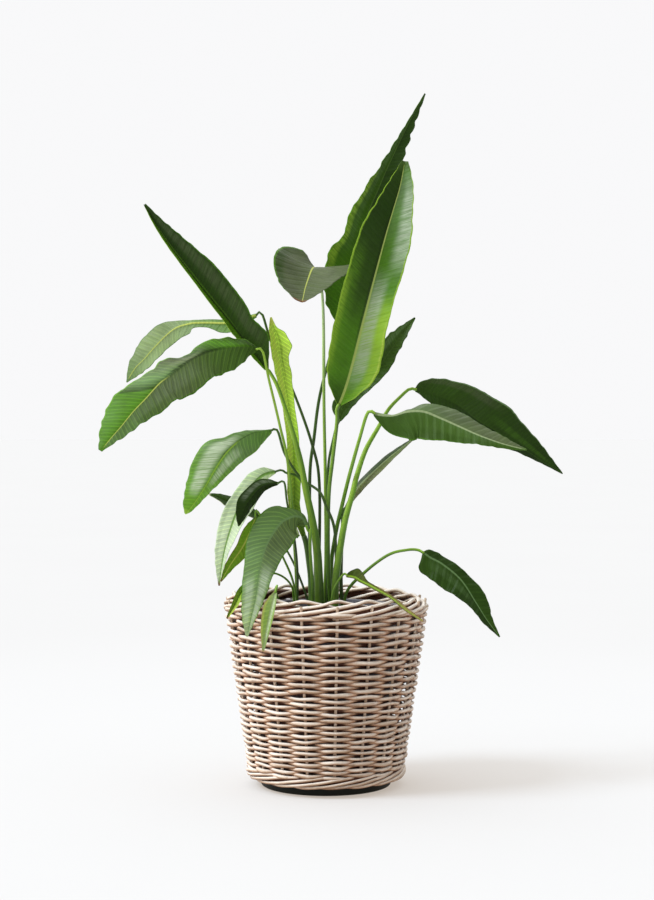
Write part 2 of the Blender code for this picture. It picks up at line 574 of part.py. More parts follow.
def make_stem(name, leaf):
    stations, _ = even_stations(stem_route(leaf), STEM_STATIONS)
    soil_stations = [stem_route(leaf)[0], stem_route(leaf)[1]]
    stations = soil_stations + stations[2:]
    count = len(stations)
    spine = [Vector(row[:3]) * MM for row in stations]
    first, last = (value * MM for value in leaf["radius"])
    outward = Vector((0, -1, 0))
    rings = []
    for i, centre in enumerate(spine):
        if i < 2:
            along = Vector((0, 0, 1))
        elif i == count - 1:
            along = (Vector(leaf["rows"][1][:3]) - Vector(leaf["rows"][0][:3])).normalized()
        else:
            along = (spine[i + 1] - spine[i - 1]).normalized()
        outward = (outward - outward.dot(along) * along).normalized()
        side = along.cross(outward)
        t = max(i - 1, 0) / (count - 2)
        radius = first + (last - first) * t
        ring = []
        for j in range(STEM_SIDES):
            angle = math.tau * j / STEM_SIDES
            ring.append(centre + radius * (math.cos(angle) * side - math.sin(angle) * outward))
        rings.append(ring)
    points = [p for ring in rings for p in ring]
    faces = [tuple(reversed(range(STEM_SIDES)))]
    for i in range(count - 1):
        for j in range(STEM_SIDES):
            k = (j + 1) % STEM_SIDES
            low, high = i * STEM_SIDES, (i + 1) * STEM_SIDES
            faces.append((low + j, low + k, high + k, high + j))
    faces.append(tuple(range((count - 1) * STEM_SIDES, count * STEM_SIDES)))
    return add_object(name, points, faces, leaf["stem_colour"])


def make_leaves():
    for name, leaf in LEAVES.items():
        make_blade("blade_" + name, leaf)
        make_stem("stem_" + name, leaf)


def main():
    clear_scene()
    make_basket_wall()
    make_borders()
    make_base_and_plate()
    make_pot()
    make_leaves()


if __name__ == "__main__":
    main()
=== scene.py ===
import math

import bpy
import numpy as np
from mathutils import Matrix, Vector


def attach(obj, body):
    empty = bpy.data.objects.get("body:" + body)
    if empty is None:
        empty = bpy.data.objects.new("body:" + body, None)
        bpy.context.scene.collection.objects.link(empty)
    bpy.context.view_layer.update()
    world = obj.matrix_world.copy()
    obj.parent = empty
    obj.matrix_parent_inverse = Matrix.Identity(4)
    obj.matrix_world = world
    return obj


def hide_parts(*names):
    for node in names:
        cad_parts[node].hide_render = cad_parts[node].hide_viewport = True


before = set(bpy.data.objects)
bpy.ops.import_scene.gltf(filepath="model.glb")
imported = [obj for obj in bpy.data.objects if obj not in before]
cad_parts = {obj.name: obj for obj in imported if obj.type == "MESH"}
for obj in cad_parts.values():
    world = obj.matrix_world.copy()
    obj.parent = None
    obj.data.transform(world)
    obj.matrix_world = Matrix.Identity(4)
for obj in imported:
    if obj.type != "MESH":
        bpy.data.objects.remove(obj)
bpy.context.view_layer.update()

MM = 0.001
rng = np.random.default_rng(7)

# Basket, in mm. The strand rows lie closer together towards the foot.
STAKES = 18
STAKE_SHIFT = math.radians(-3.7)
ROWS = 48
WALL_BOTTOM_Z, WALL_TOP_Z = 37.5, 264.0
WALL_BOTTOM_RADIUS, WALL_TOP_RADIUS = 114.5, 147.5
ROW_SLOWNESS = 0.824
STRAND = 5.7
STAKE_DIAMETER = 4.2
WEAVE_SWING = 5.0
WALL_DEPTH = 4.5
PACKED_ROWS = 3
PACKED_PITCH = 3.9
# Points round a strand, a border's core and the soil, and round the section of a strand and of a border's rod
RING_STEPS, STRAND_SIDES, ROD_SIDES = 180, 8, 10
# Smooth random drifts along a strand, as waves and size: up and down, in and out, and in its own size
LEVEL_DRIFT, SWING_DRIFT, SIZE_DRIFT = (22, 0.80), (16, 0.42), (16, 0.12)
SIZE_SPREAD = (0.86, 1.13)
# How far the stakes reach past the wall's bottom and top, and stand out from its middle
STAKE_BELOW, STAKE_ABOVE, STAKE_OUT = 12, 8, 1.2

# Rolled rim: 18 rods, one from each stake. Each rises inside, arches over the crest at the second stake, and slopes
# outwards and down past two more. Rows: stakes passed, radius and z.
RIM_ROUTE = [(0.0, 135, 255), (0.7, 131.5, 265), (1.2, 130.5, 271.5), (1.55, 131.5, 275.8), (2.0, 134.5, 278.3),
             (2.45, 138, 275.5), (2.8, 140.8, 272.3), (3.2, 143.8, 270.0), (3.6, 146, 266.8), (4.0, 147.0, 263.5),
             (4.4, 147.2, 260.5), (4.75, 145.0, 258.0), (5.1, 141.0, 256.0)]
RIM_ROD = 5.6
RIM_HUMP = 1.2
# The crest dips at the basket's right
RIM_SAG, RIM_LOW_Z, RIM_HIGH_Z = 8.0, 252.3, 281.0
# Cores: radius, middle z, half width, half depth and slope
RIM_CORE = (139.3, 265.8, 9.0, 4.2, math.radians(-48))
# Rope round the foot, made the same way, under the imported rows
FOOT_ROUTE = [(0.0, 108.5, 29), (0.4, 112, 28), (1.0, 114.3, 25.5), (1.6, 114.9, 22), (2.2, 114.2, 18.5),
              (2.7, 112.6, 15.8), (3.2, 110.5, 14.9), (3.7, 108.2, 16.8), (4.2, 106.5, 20.5)]
FOOT_ROD = 4.8
FOOT_CORE = (109.8, 23.0, 7.0, 2.6, math.radians(75))
BORDER_STEPS = 84
# A rod's rounded end, as shares of its radius
END_REACH, END_SIZE = 0.6, 0.55

# Plate, pot and soil
PLATE_RADIUS, PLATE_TOP_Z = 95.0, 20.2
POT_BOTTOM_Z, POT_TOP_Z = 28.8, 261.0
POT_FOOT_RADIUS, POT_MOUTH_RADIUS, POT_LIP_RADIUS = 86.0, 105.0, 110.0
POT_WALL, POT_LIP = 2.4, 12.0
SOIL_TOP_Z = 240.0
SOIL_RINGS = 60
# Unevenness of the soil: height, cell size and seed
SOIL_WAVES = [(2.2, 34, 3), (1.4, 11, 4), (0.8, 4.5, 5)]
BARK_CHIPS = 420
# The innermost ring of a turned face, which stands for its centre
CENTRE = 0.5
TURNED_SIDES = 160

# Blades and stems, in mm
BLADE_COLUMNS = 33
# The least and the most points along a blade
BLADE_ROWS = (60, 150)
BLADE_THICKNESS, THINNER_MARGIN = 0.72, 0.3
# Under the midrib a rib stands out, and over it a groove runs: depth and width of each
RIB, GROOVE = (1.5, 1.9), (0.55, 1.5)
EDGE_WAVE, RIGHT_WAVE_SHIFT, CUP_POWER = 2.2, 0.4, 1.4
# How the margins run in and out: period, shift of the right one, and depth
MARGIN_WAVES = [(31.0, 2.0, 1.0), (13.0, 5.0, 0.3)]
PLEAT_PITCH, RUFFLE_PITCH = 13.0, 21.0
VEIN_PITCHES = (6.5, 1.45)
STEM_SIDES, STEM_STEPS = 16, 64
# A stem's depth in the soil, where it lines up in front of the blade's first point, and its reach past that point
STEM_DEPTH, STEM_LEAD, STEM_INTO_BLADE = 24.7, 9, 1.5

# Light: the room's brightness by direction; the key's share on the floor, its direction, its softness in degrees
# and its colour; the background's brightness; the floor's albedo and glow, and half its width in m
ROOM_LEFT, ROOM_RIGHT, ROOM_TOP, ROOM_FRONT = 1.27, 0.38, 0.45, 0.50
KEY_SHARE, KEY_DIRECTION, KEY_SOFTNESS, KEY_COLOUR = 0.44, (-0.96, -0.30, 0.95), 22, (0.94, 1.0, 1.06)
BACKGROUND = 0.945
FLOOR_ALBEDO, FLOOR_GLOW, FLOOR_SIZE = 0.401, 0.40, 60.0

# Camera, in m: where it stands, and how far it looks down
CAMERA_PLACE, CAMERA_DROP, CAMERA_LENS = (0.0015, -2.660, 0.527), math.atan(26 / 1818), 72.72

# Leaf and stem tones
TONES = {
    "ink": (0.010, 0.024, 0.002),
    "deep": (0.017, 0.044, 0.003),
    "dark": (0.030, 0.072, 0.006),
    "moss": (0.062, 0.122, 0.020),
    "green": (0.070, 0.185, 0.010),
    "fresh": (0.120, 0.290, 0.014),
    "lime": (0.27, 0.46, 0.035),
    "bright": (0.52, 0.74, 0.10),
    "yellow": (0.52, 0.58, 0.11),
    "grey_green": (0.080, 0.105, 0.045),
    "soft": (0.12, 0.21, 0.075),
    "sage": (0.29, 0.36, 0.18),
    "silver": (0.42, 0.50, 0.36),
    "mint": (0.60, 0.70, 0.50),
    "olive": (0.13, 0.13, 0.03),
    "brown": (0.17, 0.08, 0.03),
    "tan": (0.42, 0.29, 0.13),
    "rib": (0.38, 0.48, 0.12),
    "cream": (0.62, 0.64, 0.42),
}

# A stalk's first tones paint its lit left side and its second tones its shaded right side: painted light and shade
DARK_STALK = ("dark dark green", "deep dark dark")
# What a leaf takes where its entry says nothing else
DEFAULTS = dict(
    face=(0, -1, 0), waves=0, under="sage moss", slot="leaf_dark", bands=(), rib_size=1.0, rib_strength=0.8,
    rib_from=None, vein=0.22, skew=0.0, gloss=0.15, slope=0.55, pleat=0.38, ruffle=0.5, scallop=0.5,
    stalk=("green fresh lime", "dark green fresh"))
LEAVES = {}


def leaf(name, **values):
    """Keeps one leaf, with the CAD's routes and widths in mm. A row is the midrib's x, y and z and the widths of the
    left and the right half, from the base to the tip. The stem's route and the stalk's tones run from the soil up.
    Left, right and under are the tones along those halves and the under face, some set at places of their own; the
    tones of the two halves are partly painted light and shade, one half lit and the other shaded. Edges are the two
    margins. A band is a tone, its middle and half width, its first and last share, and its strength: some bands are
    painted sheen (a painted reflection), some painted shade in a crease, the rest the leaf's own tone."""
    LEAVES[name] = {**DEFAULTS, **values}


leaf("upper_left", rise=(26, 4), waves=3, radius=(7.5, 2.4),
    rows=[(-86, -5, 607, 3, 3), (-98, -5, 622, 5, 19), (-111, -5, 639, 6, 33), (-128, -3, 660, 7, 30),
          (-145, 0, 682, 6, 34), (-184, 0, 730, 4, 36), (-227, 5, 786, 3, 23), (-250, 8, 820, 2, 12),
          (-266, 10, 849, 1, 2)],
    stem=[(-9, -30, 240), (-10, -29, 290), (-13, -26, 345), (-20, -22, 388), (-29, -18, 430), (-41, -14, 489),
          (-67, -8, 572)],
    left="fresh green fresh green", right="dark dark deep deep", rib="ink", edges="lime green", tip="dark",
    stalk=("green lime lime", "dark green fresh"),
    bands=[("grey_green", 0.62, 0.34, 0.12, 0.92, 0.55), ("fresh", 0.05, 0.05, 0.25, 0.9, 0.5)])
leaf("left_broad", face=(0, -1, 0.25), rise=(2, -20), waves=4, radius=(2.4, 1.8),
    rows=[(-99, -45, 634, 3, 3), (-113, -52, 638, 18, 13), (-134, -60, 637, 32, 20), (-155, -68, 633, 37, 21),
          (-172, -75, 628, 39, 20), (-184, -80, 622, 40, 14), (-194, -85, 616, 41, 16), (-204, -90, 608, 41, 27),
          (-214, -95, 600, 41, 31), (-224, -100, 592, 39, 28), (-235, -105, 583, 36, 31),
          (-252, -115, 563, 30, 38), (-269, -125, 544, 23, 39), (-285, -135, 523, 16, 31),
          (-298, -143, 507, 9, 20), (-311, -150, 490, 2, 4)],
    stem=[(-42, -16, 240), (-44, -20, 320), (-54, -26, 460), (-67, -32, 526), (-82, -38, 590)],
    left="dark moss grey_green moss soft",
    right=[(0.0, "dark"), (0.12, "green"), (0.24, "dark"), (0.33, "grey_green"), (0.5, "soft"), (0.585, "dark"),
           (0.6, "green"), (0.75, "green"), (1.0, "green")],
    skew=0.125, vein=0.55, pleat=0.5, scallop=0.9, rib="yellow", rib_from=0.52, edges="green fresh", tip="green",
    slot="leaf", stalk=("green lime lime", "green fresh lime"),
    bands=[("ink", 0.05, 0.13, 0.16, 0.52, 0.8), ("sage", 0.38, 0.22, 0.28, 0.52, 0.25),
          ("silver", -0.35, 0.4, 0.35, 0.8, 0.12)])
leaf("left_back", face=(0, 1, -0.2), rise=(6, -6), waves=3, radius=(2.5, 1.8),
    rows=[(-103, 40, 688, 3, 3), (-125, 48, 681, 6, 10), (-147, 55, 677, 7, 16), (-175, 64, 678, 6, 8),
          (-197, 70, 678, 6, 8), (-205, 73, 677, 7, 16), (-224, 80, 672, 12, 19), (-241, 90, 661, 21, 18),
          (-261, 100, 642, 25, 17), (-278, 108, 624, 22, 16), (-291, 115, 612, 14, 13), (-305, 125, 591, 1, 1)],
    stem=[(-12, 30, 240), (-10, 30, 330), (-10, 30, 441), (-20, 30, 495), (-46, 32, 569), (-80, 36, 645)],
    left="moss moss", right="moss moss", under="fresh soft sage soft", rib="yellow", edges="soft soft",
    tip="soft", slot="leaf_pale", stalk=DARK_STALK)
leaf("young_rolled", rise=(9, 9), radius=(5.0, 4.2),
    rows=[(-32, 18, 360, 3, 3), (-46, 21, 405, 8, 8), (-47, 22, 445, 10, 10), (-49, 22, 504, 9, 9),
          (-56, 20, 562, 9, 9), (-63, 18, 602, 11, 12), (-67, 18, 622, 11, 12), (-70, 17, 638, 11, 20),
          (-73, 16, 655, 9, 15), (-77, 16, 668, 7, 5), (-81, 15, 684, 1, 1)],
    stem=[(-21, 10, 240), (-22, 12, 294), (-26, 15, 331)],
    left="moss bright bright bright", right="moss lime bright bright", under="lime yellow", rib="green",
    rib_strength=0.35, edges="yellow lime", tip="yellow", slot="leaf_young", slope=-0.9, vein=0.5,
    stalk=("green moss", "dark moss"),
    bands=[("green", 0.22, 0.14, 0.72, 0.98, 0.6), ("yellow", -0.5, 0.4, 0.3, 0.98, 0.6)])
leaf("centre_arched", face=(0, -0.57, 0.82), rise=(9, 27), waves=2, radius=(2.8, 2.0),
    rows=[(-12, 40, 755, 3, 3), (-14, 34, 757, 24, 20), (-17, 26, 759, 56, 47), (-21, 4, 753, 60, 51),
          (-26, -22, 737, 50, 50), (-30, -45, 722, 37, 41), (-32, -64, 710, 20, 30), (-34, -80, 700, 5, 10)],
    stem=[(-3, 8, 240), (0, 12, 330), (-1, 18, 450), (-3, 24, 560), (-4, 34, 690)],
    left="grey_green grey_green grey_green", right="grey_green grey_green grey_green", rib="yellow",
    edges="grey_green green", tip="brown", stalk=("fresh lime lime mint", "dark green fresh mint"),
    bands=[("dark", 0.92, 0.3, 0.1, 0.75, 0.95), ("sage", -0.3, 0.3, 0.2, 0.6, 0.12)])
leaf("crown_back", rise=(10, 6), waves=4, radius=(3.0, 2.2),
    rows=[(20, 46, 676, 3, 3), (24, 48, 690, 20, 12), (30, 50, 718, 33, 22), (40, 55, 765, 40, 28),
          (50, 57, 800, 27, 28), (62, 60, 840, 24, 26), (77, 60, 875, 18, 22), (92, 60, 910, 11, 18),
          (122, 60, 973, 3, 10), (148, 60, 1020, 1, 1)],
    stem=[(-22, 40, 240), (-24, 42, 340), (-24, 46, 452), (-18, 50, 505), (-8, 50, 575)],
    left="green dark dark", right="dark deep deep", ruffle=1.6, pleat=0.5, rib="moss", edges="fresh moss",
    tip="dark", scallop=1.4, stalk=DARK_STALK,
    bands=[("lime", -0.85, 0.25, 0.2, 0.62, 0.8), ("soft", -0.6, 0.4, 0.3, 0.9, 0.3)])
leaf("crown_front", rise=(20, 18), waves=2, radius=(3.5, 2.6),
    rows=[(19, -16, 555, 3, 3), (28, -18, 578, 25, 22), (38, -20, 612, 36, 39), (57, -20, 687, 41, 35),
          (84, -20, 790, 38, 38), (97, -15, 835, 28, 29), (108, -10, 873, 18, 19), (115, -5, 910, 4, 5)],
    stem=[(8, -10, 240), (3, -10, 330), (4, -11, 420), (10, -13, 478), (16, -15, 530)],
    left=[(0.0, "dark"), (0.12, "green"), (0.28, "green"), (0.45, "dark"), (0.8, "deep"), (1.0, "dark")],
    right=[(0.0, "fresh"), (0.12, "fresh"), (0.3, "lime"), (0.48, "green"), (0.62, "green"), (0.9, "soft"),
           (1.0, "green")],
    under="sage lime", rib="rib", rib_size=1.35, rib_strength=0.95, vein=0.12, edges="lime lime", tip="moss",
    slot="leaf", stalk=("green fresh lime", "dark green moss"),
    bands=[("fresh", -0.98, 0.6, 0.1, 0.62, 0.55), ("lime", -1.0, 0.3, 0.14, 0.5, 0.7),
          ("ink", -0.07, 0.07, 0.25, 0.95, 0.6), ("silver", 0.78, 0.5, 0.58, 0.9, 0.75),
          ("silver", 0.3, 0.4, 0.1, 0.52, 0.75), ("lime", 0.8, 0.35, 0.06, 0.42, 0.85),
          ("yellow", 0.97, 0.1, 0.04, 0.34, 0.6)])
leaf("right_inner", rise=(8, 8), waves=2, radius=(2.5, 1.8),
    rows=[(20, 10, 532, 2, 2), (25, 12, 541, 20, 5), (35, 16, 558, 20, 7), (55, 22, 582, 22, 10),
          (80, 35, 614, 22, 14), (107, 50, 652, 15, 9), (133, 60, 686, 1, 1)],
    stem=[(2, 36, 240), (3, 36, 330), (3, 32, 420), (4, 24, 470), (12, 14, 510)],
    left="moss dark moss", right="dark moss", ruffle=1.0, pleat=0.6, scallop=0.9, rib="moss", edges="soft dark",
    tip="dark", stalk=DARK_STALK,
    bands=[("soft", -0.6, 0.35, 0.3, 1.0, 0.7)])
leaf("right_high", face=(0, -1, 0.3), rise=(-6, -8), waves=4, radius=(6.0, 2.2),
    rows=[(133, 44, 578, 3, 3), (141, 46, 577, 15, 6), (156, 50, 573, 24, 12), (178, 58, 566, 31, 20),
          (201, 65, 554, 37, 24), (229, 80, 533, 46, 24), (252, 88, 520, 45, 21), (274, 95, 506, 40, 14),
          (318, 110, 478, 23, 5), (362, 120, 451, 1, 1)],
    stem=[(12, -33, 240), (14, -33, 300), (21, -30, 350), (28, -26, 388), (38, -20, 424), (45, -14, 452),
          (58, -2, 489), (77, 14, 522), (92, 28, 548), (110, 38, 567)],
    left="dark dark deep deep", right="dark deep ink deep", rib="dark", edges="soft moss", tip="dark",
    stalk=("fresh lime lime", "dark fresh fresh"),
    bands=[("grey_green", -0.8, 0.22, 0.05, 0.5, 0.55), ("green", -0.3, 0.2, 0.5, 0.9, 0.35)])
leaf("right_broad", face=(0, -1, 0.3), rise=(-22, -4), waves=4, radius=(3.2, 2.4),
    rows=[(69, -45, 542, 3, 3), (82, -47, 540, 4, 16), (97, -50, 540, 4, 31), (116, -56, 545, 9, 43),
          (139, -62, 545, 19, 41), (162, -70, 536, 27, 37), (186, -80, 525, 25, 26), (214, -95, 512, 19, 15),
          (240, -108, 502, 14, 8), (260, -115, 496, 8, 5), (281, -120, 491, 1, 1)],
    stem=[(10, 22, 240), (8, 22, 300), (9, 20, 332), (13, 14, 358), (17, 8, 380), (24, -2, 410), (30, -12, 436),
          (36, -22, 460), (48, -35, 504)],
    left="soft grey_green grey_green", right="dark moss dark", pleat=0.7, vein=0.08, rib="sage", rib_size=1.5,
    edges="moss green", tip="moss",
    bands=[("dark", 0.8, 0.35, 0.05, 0.9, 0.7)])
leaf("right_narrow", rise=(-13, 13), radius=(3.0, 2.2),
    rows=[(29, 2, 404, 2, 2), (45, 0, 432, 4, 7), (64, 0, 452, 5, 7), (94, 5, 479, 5, 5), (130, 10, 507, 1, 1)],
    stem=[(25, 4, 240), (22, 4, 300), (24, 4, 370)],
    left="dark deep", right="olive moss", under="olive moss", rib="sage", edges="dark olive", tip="olive",
    stalk=DARK_STALK)
leaf("left_middle", face=(0, -1, 0.3), rise=(4, -12), waves=3, radius=(2.3, 1.8),
    rows=[(-79, -22, 517, 3, 3), (-92, -27, 516, 15, 4), (-105, -34, 514, 23, 8), (-122, -42, 505, 28, 16),
          (-133, -47, 496, 28, 21), (-145, -52, 483, 27, 37), (-158, -61, 463, 21, 36), (-169, -70, 443, 14, 31),
          (-181, -80, 423, 8, 23), (-193, -87, 406, 4, 12), (-199, -90, 400, 1, 2)],
    stem=[(16, -20, 240), (15, -20, 320), (12, -20, 376), (0, -20, 408), (-9, -14, 428), (-29, -3, 442),
          (-41, -5, 453), (-60, -17, 484)],
    left="green soft fresh fresh", right="green soft fresh fresh", under="sage lime", rib="lime", rib_from=0.3,
    vein=0.45, pleat=0.5, gloss=0.3, edges="fresh fresh", tip="lime", slot="leaf", stalk=DARK_STALK,
    bands=[("mint", 0.42, 0.42, 0.28, 0.82, 0.9), ("mint", -0.4, 0.35, 0.35, 0.7, 0.6),
          ("ink", 0.03, 0.07, 0.08, 0.5, 0.7)])
leaf("left_pale", rise=(8, -4), waves=2, radius=(2.3, 1.6),
    rows=[(-74, 8, 457, 2, 2), (-92, 6, 452, 10, 12), (-108, 5, 437, 16, 16), (-122, 2, 415, 20, 17),
          (-134, 0, 390, 16, 19), (-146, -5, 352, 9, 16), (-152, -8, 322, 4, 10), (-156, -10, 291, 1, 1)],
    stem=[(-17, -6, 240), (-16, -2, 340), (-20, 2, 380), (-27, 5, 415), (-33, 8, 438), (-43, 9, 451),
          (-58, 8, 455)],
    left="sage mint mint silver", right="silver mint mint silver", under="sage silver", rib="fresh", rib_size=1.6,
    edges="mint mint", tip="brown", slot="leaf_pale", vein=0.4, stalk=DARK_STALK,
    bands=[("soft", 0.75, 0.2, 0.2, 0.8, 0.3), ("mint", -0.5, 0.4, 0.2, 0.9, 0.8)])
leaf("left_dark", rise=(-10, 4), radius=(1.8, 1.5),
    rows=[(-69, -35, 441, 2, 2), (-92, -40, 436, 8, 12), (-112, -48, 413, 8, 15), (-120, -54, 395, 5, 10),
          (-125, -60, 381, 1, 1)],
    stem=[(-42, -37, 240), (-41, -37, 311), (-46, -37, 365), (-56, -37, 413)],
    left="ink deep", right="dark ink", under="moss moss", rib="ink", edges="dark dark", tip="dark",
    stalk=DARK_STALK,
    bands=[("silver", 0.6, 0.35, 0.1, 0.6, 0.35)])
leaf("front_drooping", face=(0, -1, 0.35), rise=(2, -8), waves=5, radius=(2.8, 2.0),
    rows=[(-28, -53, 380, 3, 3), (-33, -55, 391, 20, 6), (-42, -58, 395, 30, 12), (-52, -61, 393, 31, 20),
          (-66, -68, 384, 33, 33), (-84, -87, 356, 30, 30), (-93, -106, 325, 23, 23), (-98, -128, 286, 13, 20),
          (-104, -141, 258, 7, 13), (-109, -150, 233, 1, 2)],
    stem=[(-19, -48, 240), (-20, -50, 300), (-23, -52, 350), (-22, -53, 376)],
    left="moss grey_green soft sage", right="moss soft soft sage", rib="soft", rib_size=1.3, vein=0.6, pleat=0.75,
    edges="green green", tip="sage",
    bands=[("silver", -0.45, 0.45, 0.55, 0.95, 0.75), ("silver", 0.5, 0.4, 0.62, 0.9, 0.6)])
leaf("left_low", rise=(-6, 4), radius=(1.8, 1.4),
    rows=[(-101, -44, 392, 2, 2), (-108, -46, 374, 7, 10), (-120, -50, 350, 12, 9), (-137, -58, 325, 7, 7),
          (-150, -65, 302, 1, 1)],
    stem=[(-40, -54, 240), (-45, -50, 291), (-60, -44, 331)],
    left="green lime fresh", right="fresh lime green", under="sage lime", rib="yellow", edges="yellow brown",
    tip="brown", slot="leaf")
leaf("left_narrow", rise=(12, -12), radius=(1.8, 1.5),
    rows=[(-89, 30, 385, 2, 2), (-108, 28, 395, 6, 6), (-127, 25, 405, 7, 8), (-143, 22, 412, 7, 8),
          (-158, 19, 419, 4, 5), (-173, 15, 424, 1, 1)],
    stem=[(-24, -18, 240), (-26, -16, 268), (-44, -4, 316), (-60, 8, 346)],
    left="dark deep dark", right="deep dark dark", rib="dark", edges="cream dark", tip="cream", stalk=DARK_STALK)
leaf("left_rim", face=(0, -1, 0.4), rise=(3, 3), radius=(1.7, 1.4),
    rows=[(-102, -52, 303, 2, 2), (-113, -72, 297, 4, 4), (-121, -87, 287, 5, 5), (-128, -99, 273, 5, 4),
          (-139, -108, 254, 1, 1)],
    stem=[(-47, -26, 240), (-49, -29, 290), (-72, -38, 311)],
    left="lime lime yellow", right="fresh lime olive", under="sage lime", rib="green", edges="yellow green",
    tip="brown", slot="leaf_young")
leaf("front_small", face=(0, -1, 0.3), rise=(2, 2), radius=(1.7, 1.4),
    rows=[(-70, -138, 294, 2, 2), (-76, -147, 272, 6, 11), (-83, -147, 240, 5, 7), (-87, -144, 211, 1, 1)],
    stem=[(-58, -62, 240), (-62, -66, 262), (-70, -84, 284), (-71, -112, 295)],
    left="sage lime sage", right="sage lime sage", under="sage lime", rib="sage", edges="sage tan", tip="tan",
    slot="leaf_young",
    bands=[("mint", -0.4, 0.4, 0.1, 0.8, 0.7), ("yellow", 0.8, 0.2, 0.1, 0.9, 0.8)])
leaf("right_low", face=(0, -1, 0.3), rise=(-4, -4), waves=4, radius=(2.5, 2.0),
    rows=[(141, -20, 340, 3, 3), (145, -22, 338, 9, 17), (152, -24, 333, 12, 25), (169, -30, 324, 12, 28),
          (195, -40, 302, 14, 26), (216, -48, 270, 18, 11), (231, -54, 246, 9, 7), (249, -60, 222, 1, 1)],
    stem=[(27, -18, 240), (30, -18, 282), (57, -19, 312), (91, -20, 337), (118, -20, 344)],
    left="deep deep dark", right="dark deep ink", pleat=0.6, rib="soft", edges="moss dark", tip="dark",
    bands=[("soft", 0.35, 0.25, 0.1, 0.6, 0.2)])
leaf("right_rim", face=(0, -1, 0.2), rise=(4, 4), radius=(2.0, 1.6),
    rows=[(30, -48, 309, 2, 2), (41, -62, 308, 12, 3), (49, -73, 304, 10, 3), (57, -84, 301, 4, 3),
          (66, -95, 297, 3, 3), (91, -115, 284, 3, 2), (113, -127, 267, 3, 2), (136, -133, 252, 1, 1)],
    stem=[(8, -54, 240), (10, -52, 285)],
    left="dark olive tan", right="olive moss tan", under="olive moss", rib="lime", edges="ink olive", tip="tan",
    slot="leaf_young")


class Nodes:
    """Builds the nodes of one tree: a material's or the world's."""

    def __init__(self, tree):
        self.tree = tree

    def node(self, kind, settings=(), values=()):
        made = self.tree.nodes.new("ShaderNode" + kind)
        for key, value in dict(settings).items():
            setattr(made, key, value)
        for key, value in dict(values).items():
            if isinstance(value, bpy.types.NodeSocket):
                self.tree.links.new(value, made.inputs[key])
            else:
                made.inputs[key].default_value = value
        return made

    def math(self, operation, *values):
        return self.node("Math", {"operation": operation}, enumerate(values)).outputs[0]

    def times(self, a, b):
        return self.math("MULTIPLY", a, b)

    def smooth(self, value, low, high, start=0.0, end=1.0):
        values = {0: value, 1: low, 2: high, 3: start, 4: end}
        return self.node("MapRange", {"interpolation_type": "SMOOTHSTEP"}, values).outputs[0]

    def mix(self, factor, a, b, blend="MIX"):
        a = (*a, 1.0) if isinstance(a, tuple) else a
        b = (*b, 1.0) if isinstance(b, tuple) else b
        made = self.node("Mix", {"data_type": "RGBA", "blend_type": blend}, {0: factor, 6: a, 7: b})
        return made.outputs[2]

    def cover(self, colour, value, low, high, strength, by, blend="MIX"):
        """The colour, laid over with another as the value goes from low to high."""
        return self.mix(self.smooth(value, low, high, 0.0, strength), colour, by, blend)

    def tint(self, colour, value, low, high, strength, by):
        """The colour, multiplied by another as the value goes from low to high."""
        return self.cover(colour, value, low, high, strength, by, "MULTIPLY")


class Shade(Nodes):
    """One procedural material."""

    def __init__(self, name, **sockets):
        self.material = bpy.data.materials.new(name)
        self.material.use_nodes = True
        super().__init__(self.material.node_tree)
        self.shader = self.tree.nodes["Principled BSDF"]
        for key, value in sockets.items():
            self.shader.inputs[key.replace("_", " ")].default_value = value

    def attributes(self, *names):
        return [self.node("Attribute", {"attribute_name": name}).outputs["Fac"] for name in names]

    def vector(self, x=0.0, y=0.0, z=0.0):
        return self.node("CombineXYZ", (), {0: x, 1: y, 2: z}).outputs[0]

    def place(self):
        return self.node("TexCoord").outputs["Object"]

    def noise(self, vector, scale, detail=2.0, rough=0.5):
        values = {"Vector": vector, "Scale": scale, "Detail": detail, "Roughness": rough}
        return self.node("TexNoise", (), values).outputs["Fac"]

    def tones(self, factor, stops):
        """Colours over factor from 0 to 1: words are spread evenly, and pairs carry their own places."""
        made = self.node("ValToRGB", (), {0: factor})
        ramp = made.color_ramp
        if isinstance(stops, str):
            ramp.interpolation = "B_SPLINE"
            names = stops.split()
            stops = [(i / (len(names) - 1), name) for i, name in enumerate(names)]
        for i, (place, _) in enumerate(stops):
            stop = ramp.elements[i] if i < 2 else ramp.elements.new(place)
            stop.position = place
        for stop, (_, name) in zip(ramp.elements, stops):
            stop.color = (*TONES[name], 1.0)
        return made.outputs[0]

    def bump(self, height, distance, strength, **normal):
        values = {"Height": height, "Distance": distance, "Strength": strength, **normal}
        return self.node("Bump", (), values).outputs[0]

    def done(self, colour, roughness=None, normal=None):
        for key, value in (("Base Color", colour), ("Roughness", roughness), ("Normal", normal)):
            if value is not None:
                self.tree.links.new(value, self.shader.inputs[key])
        return self.material


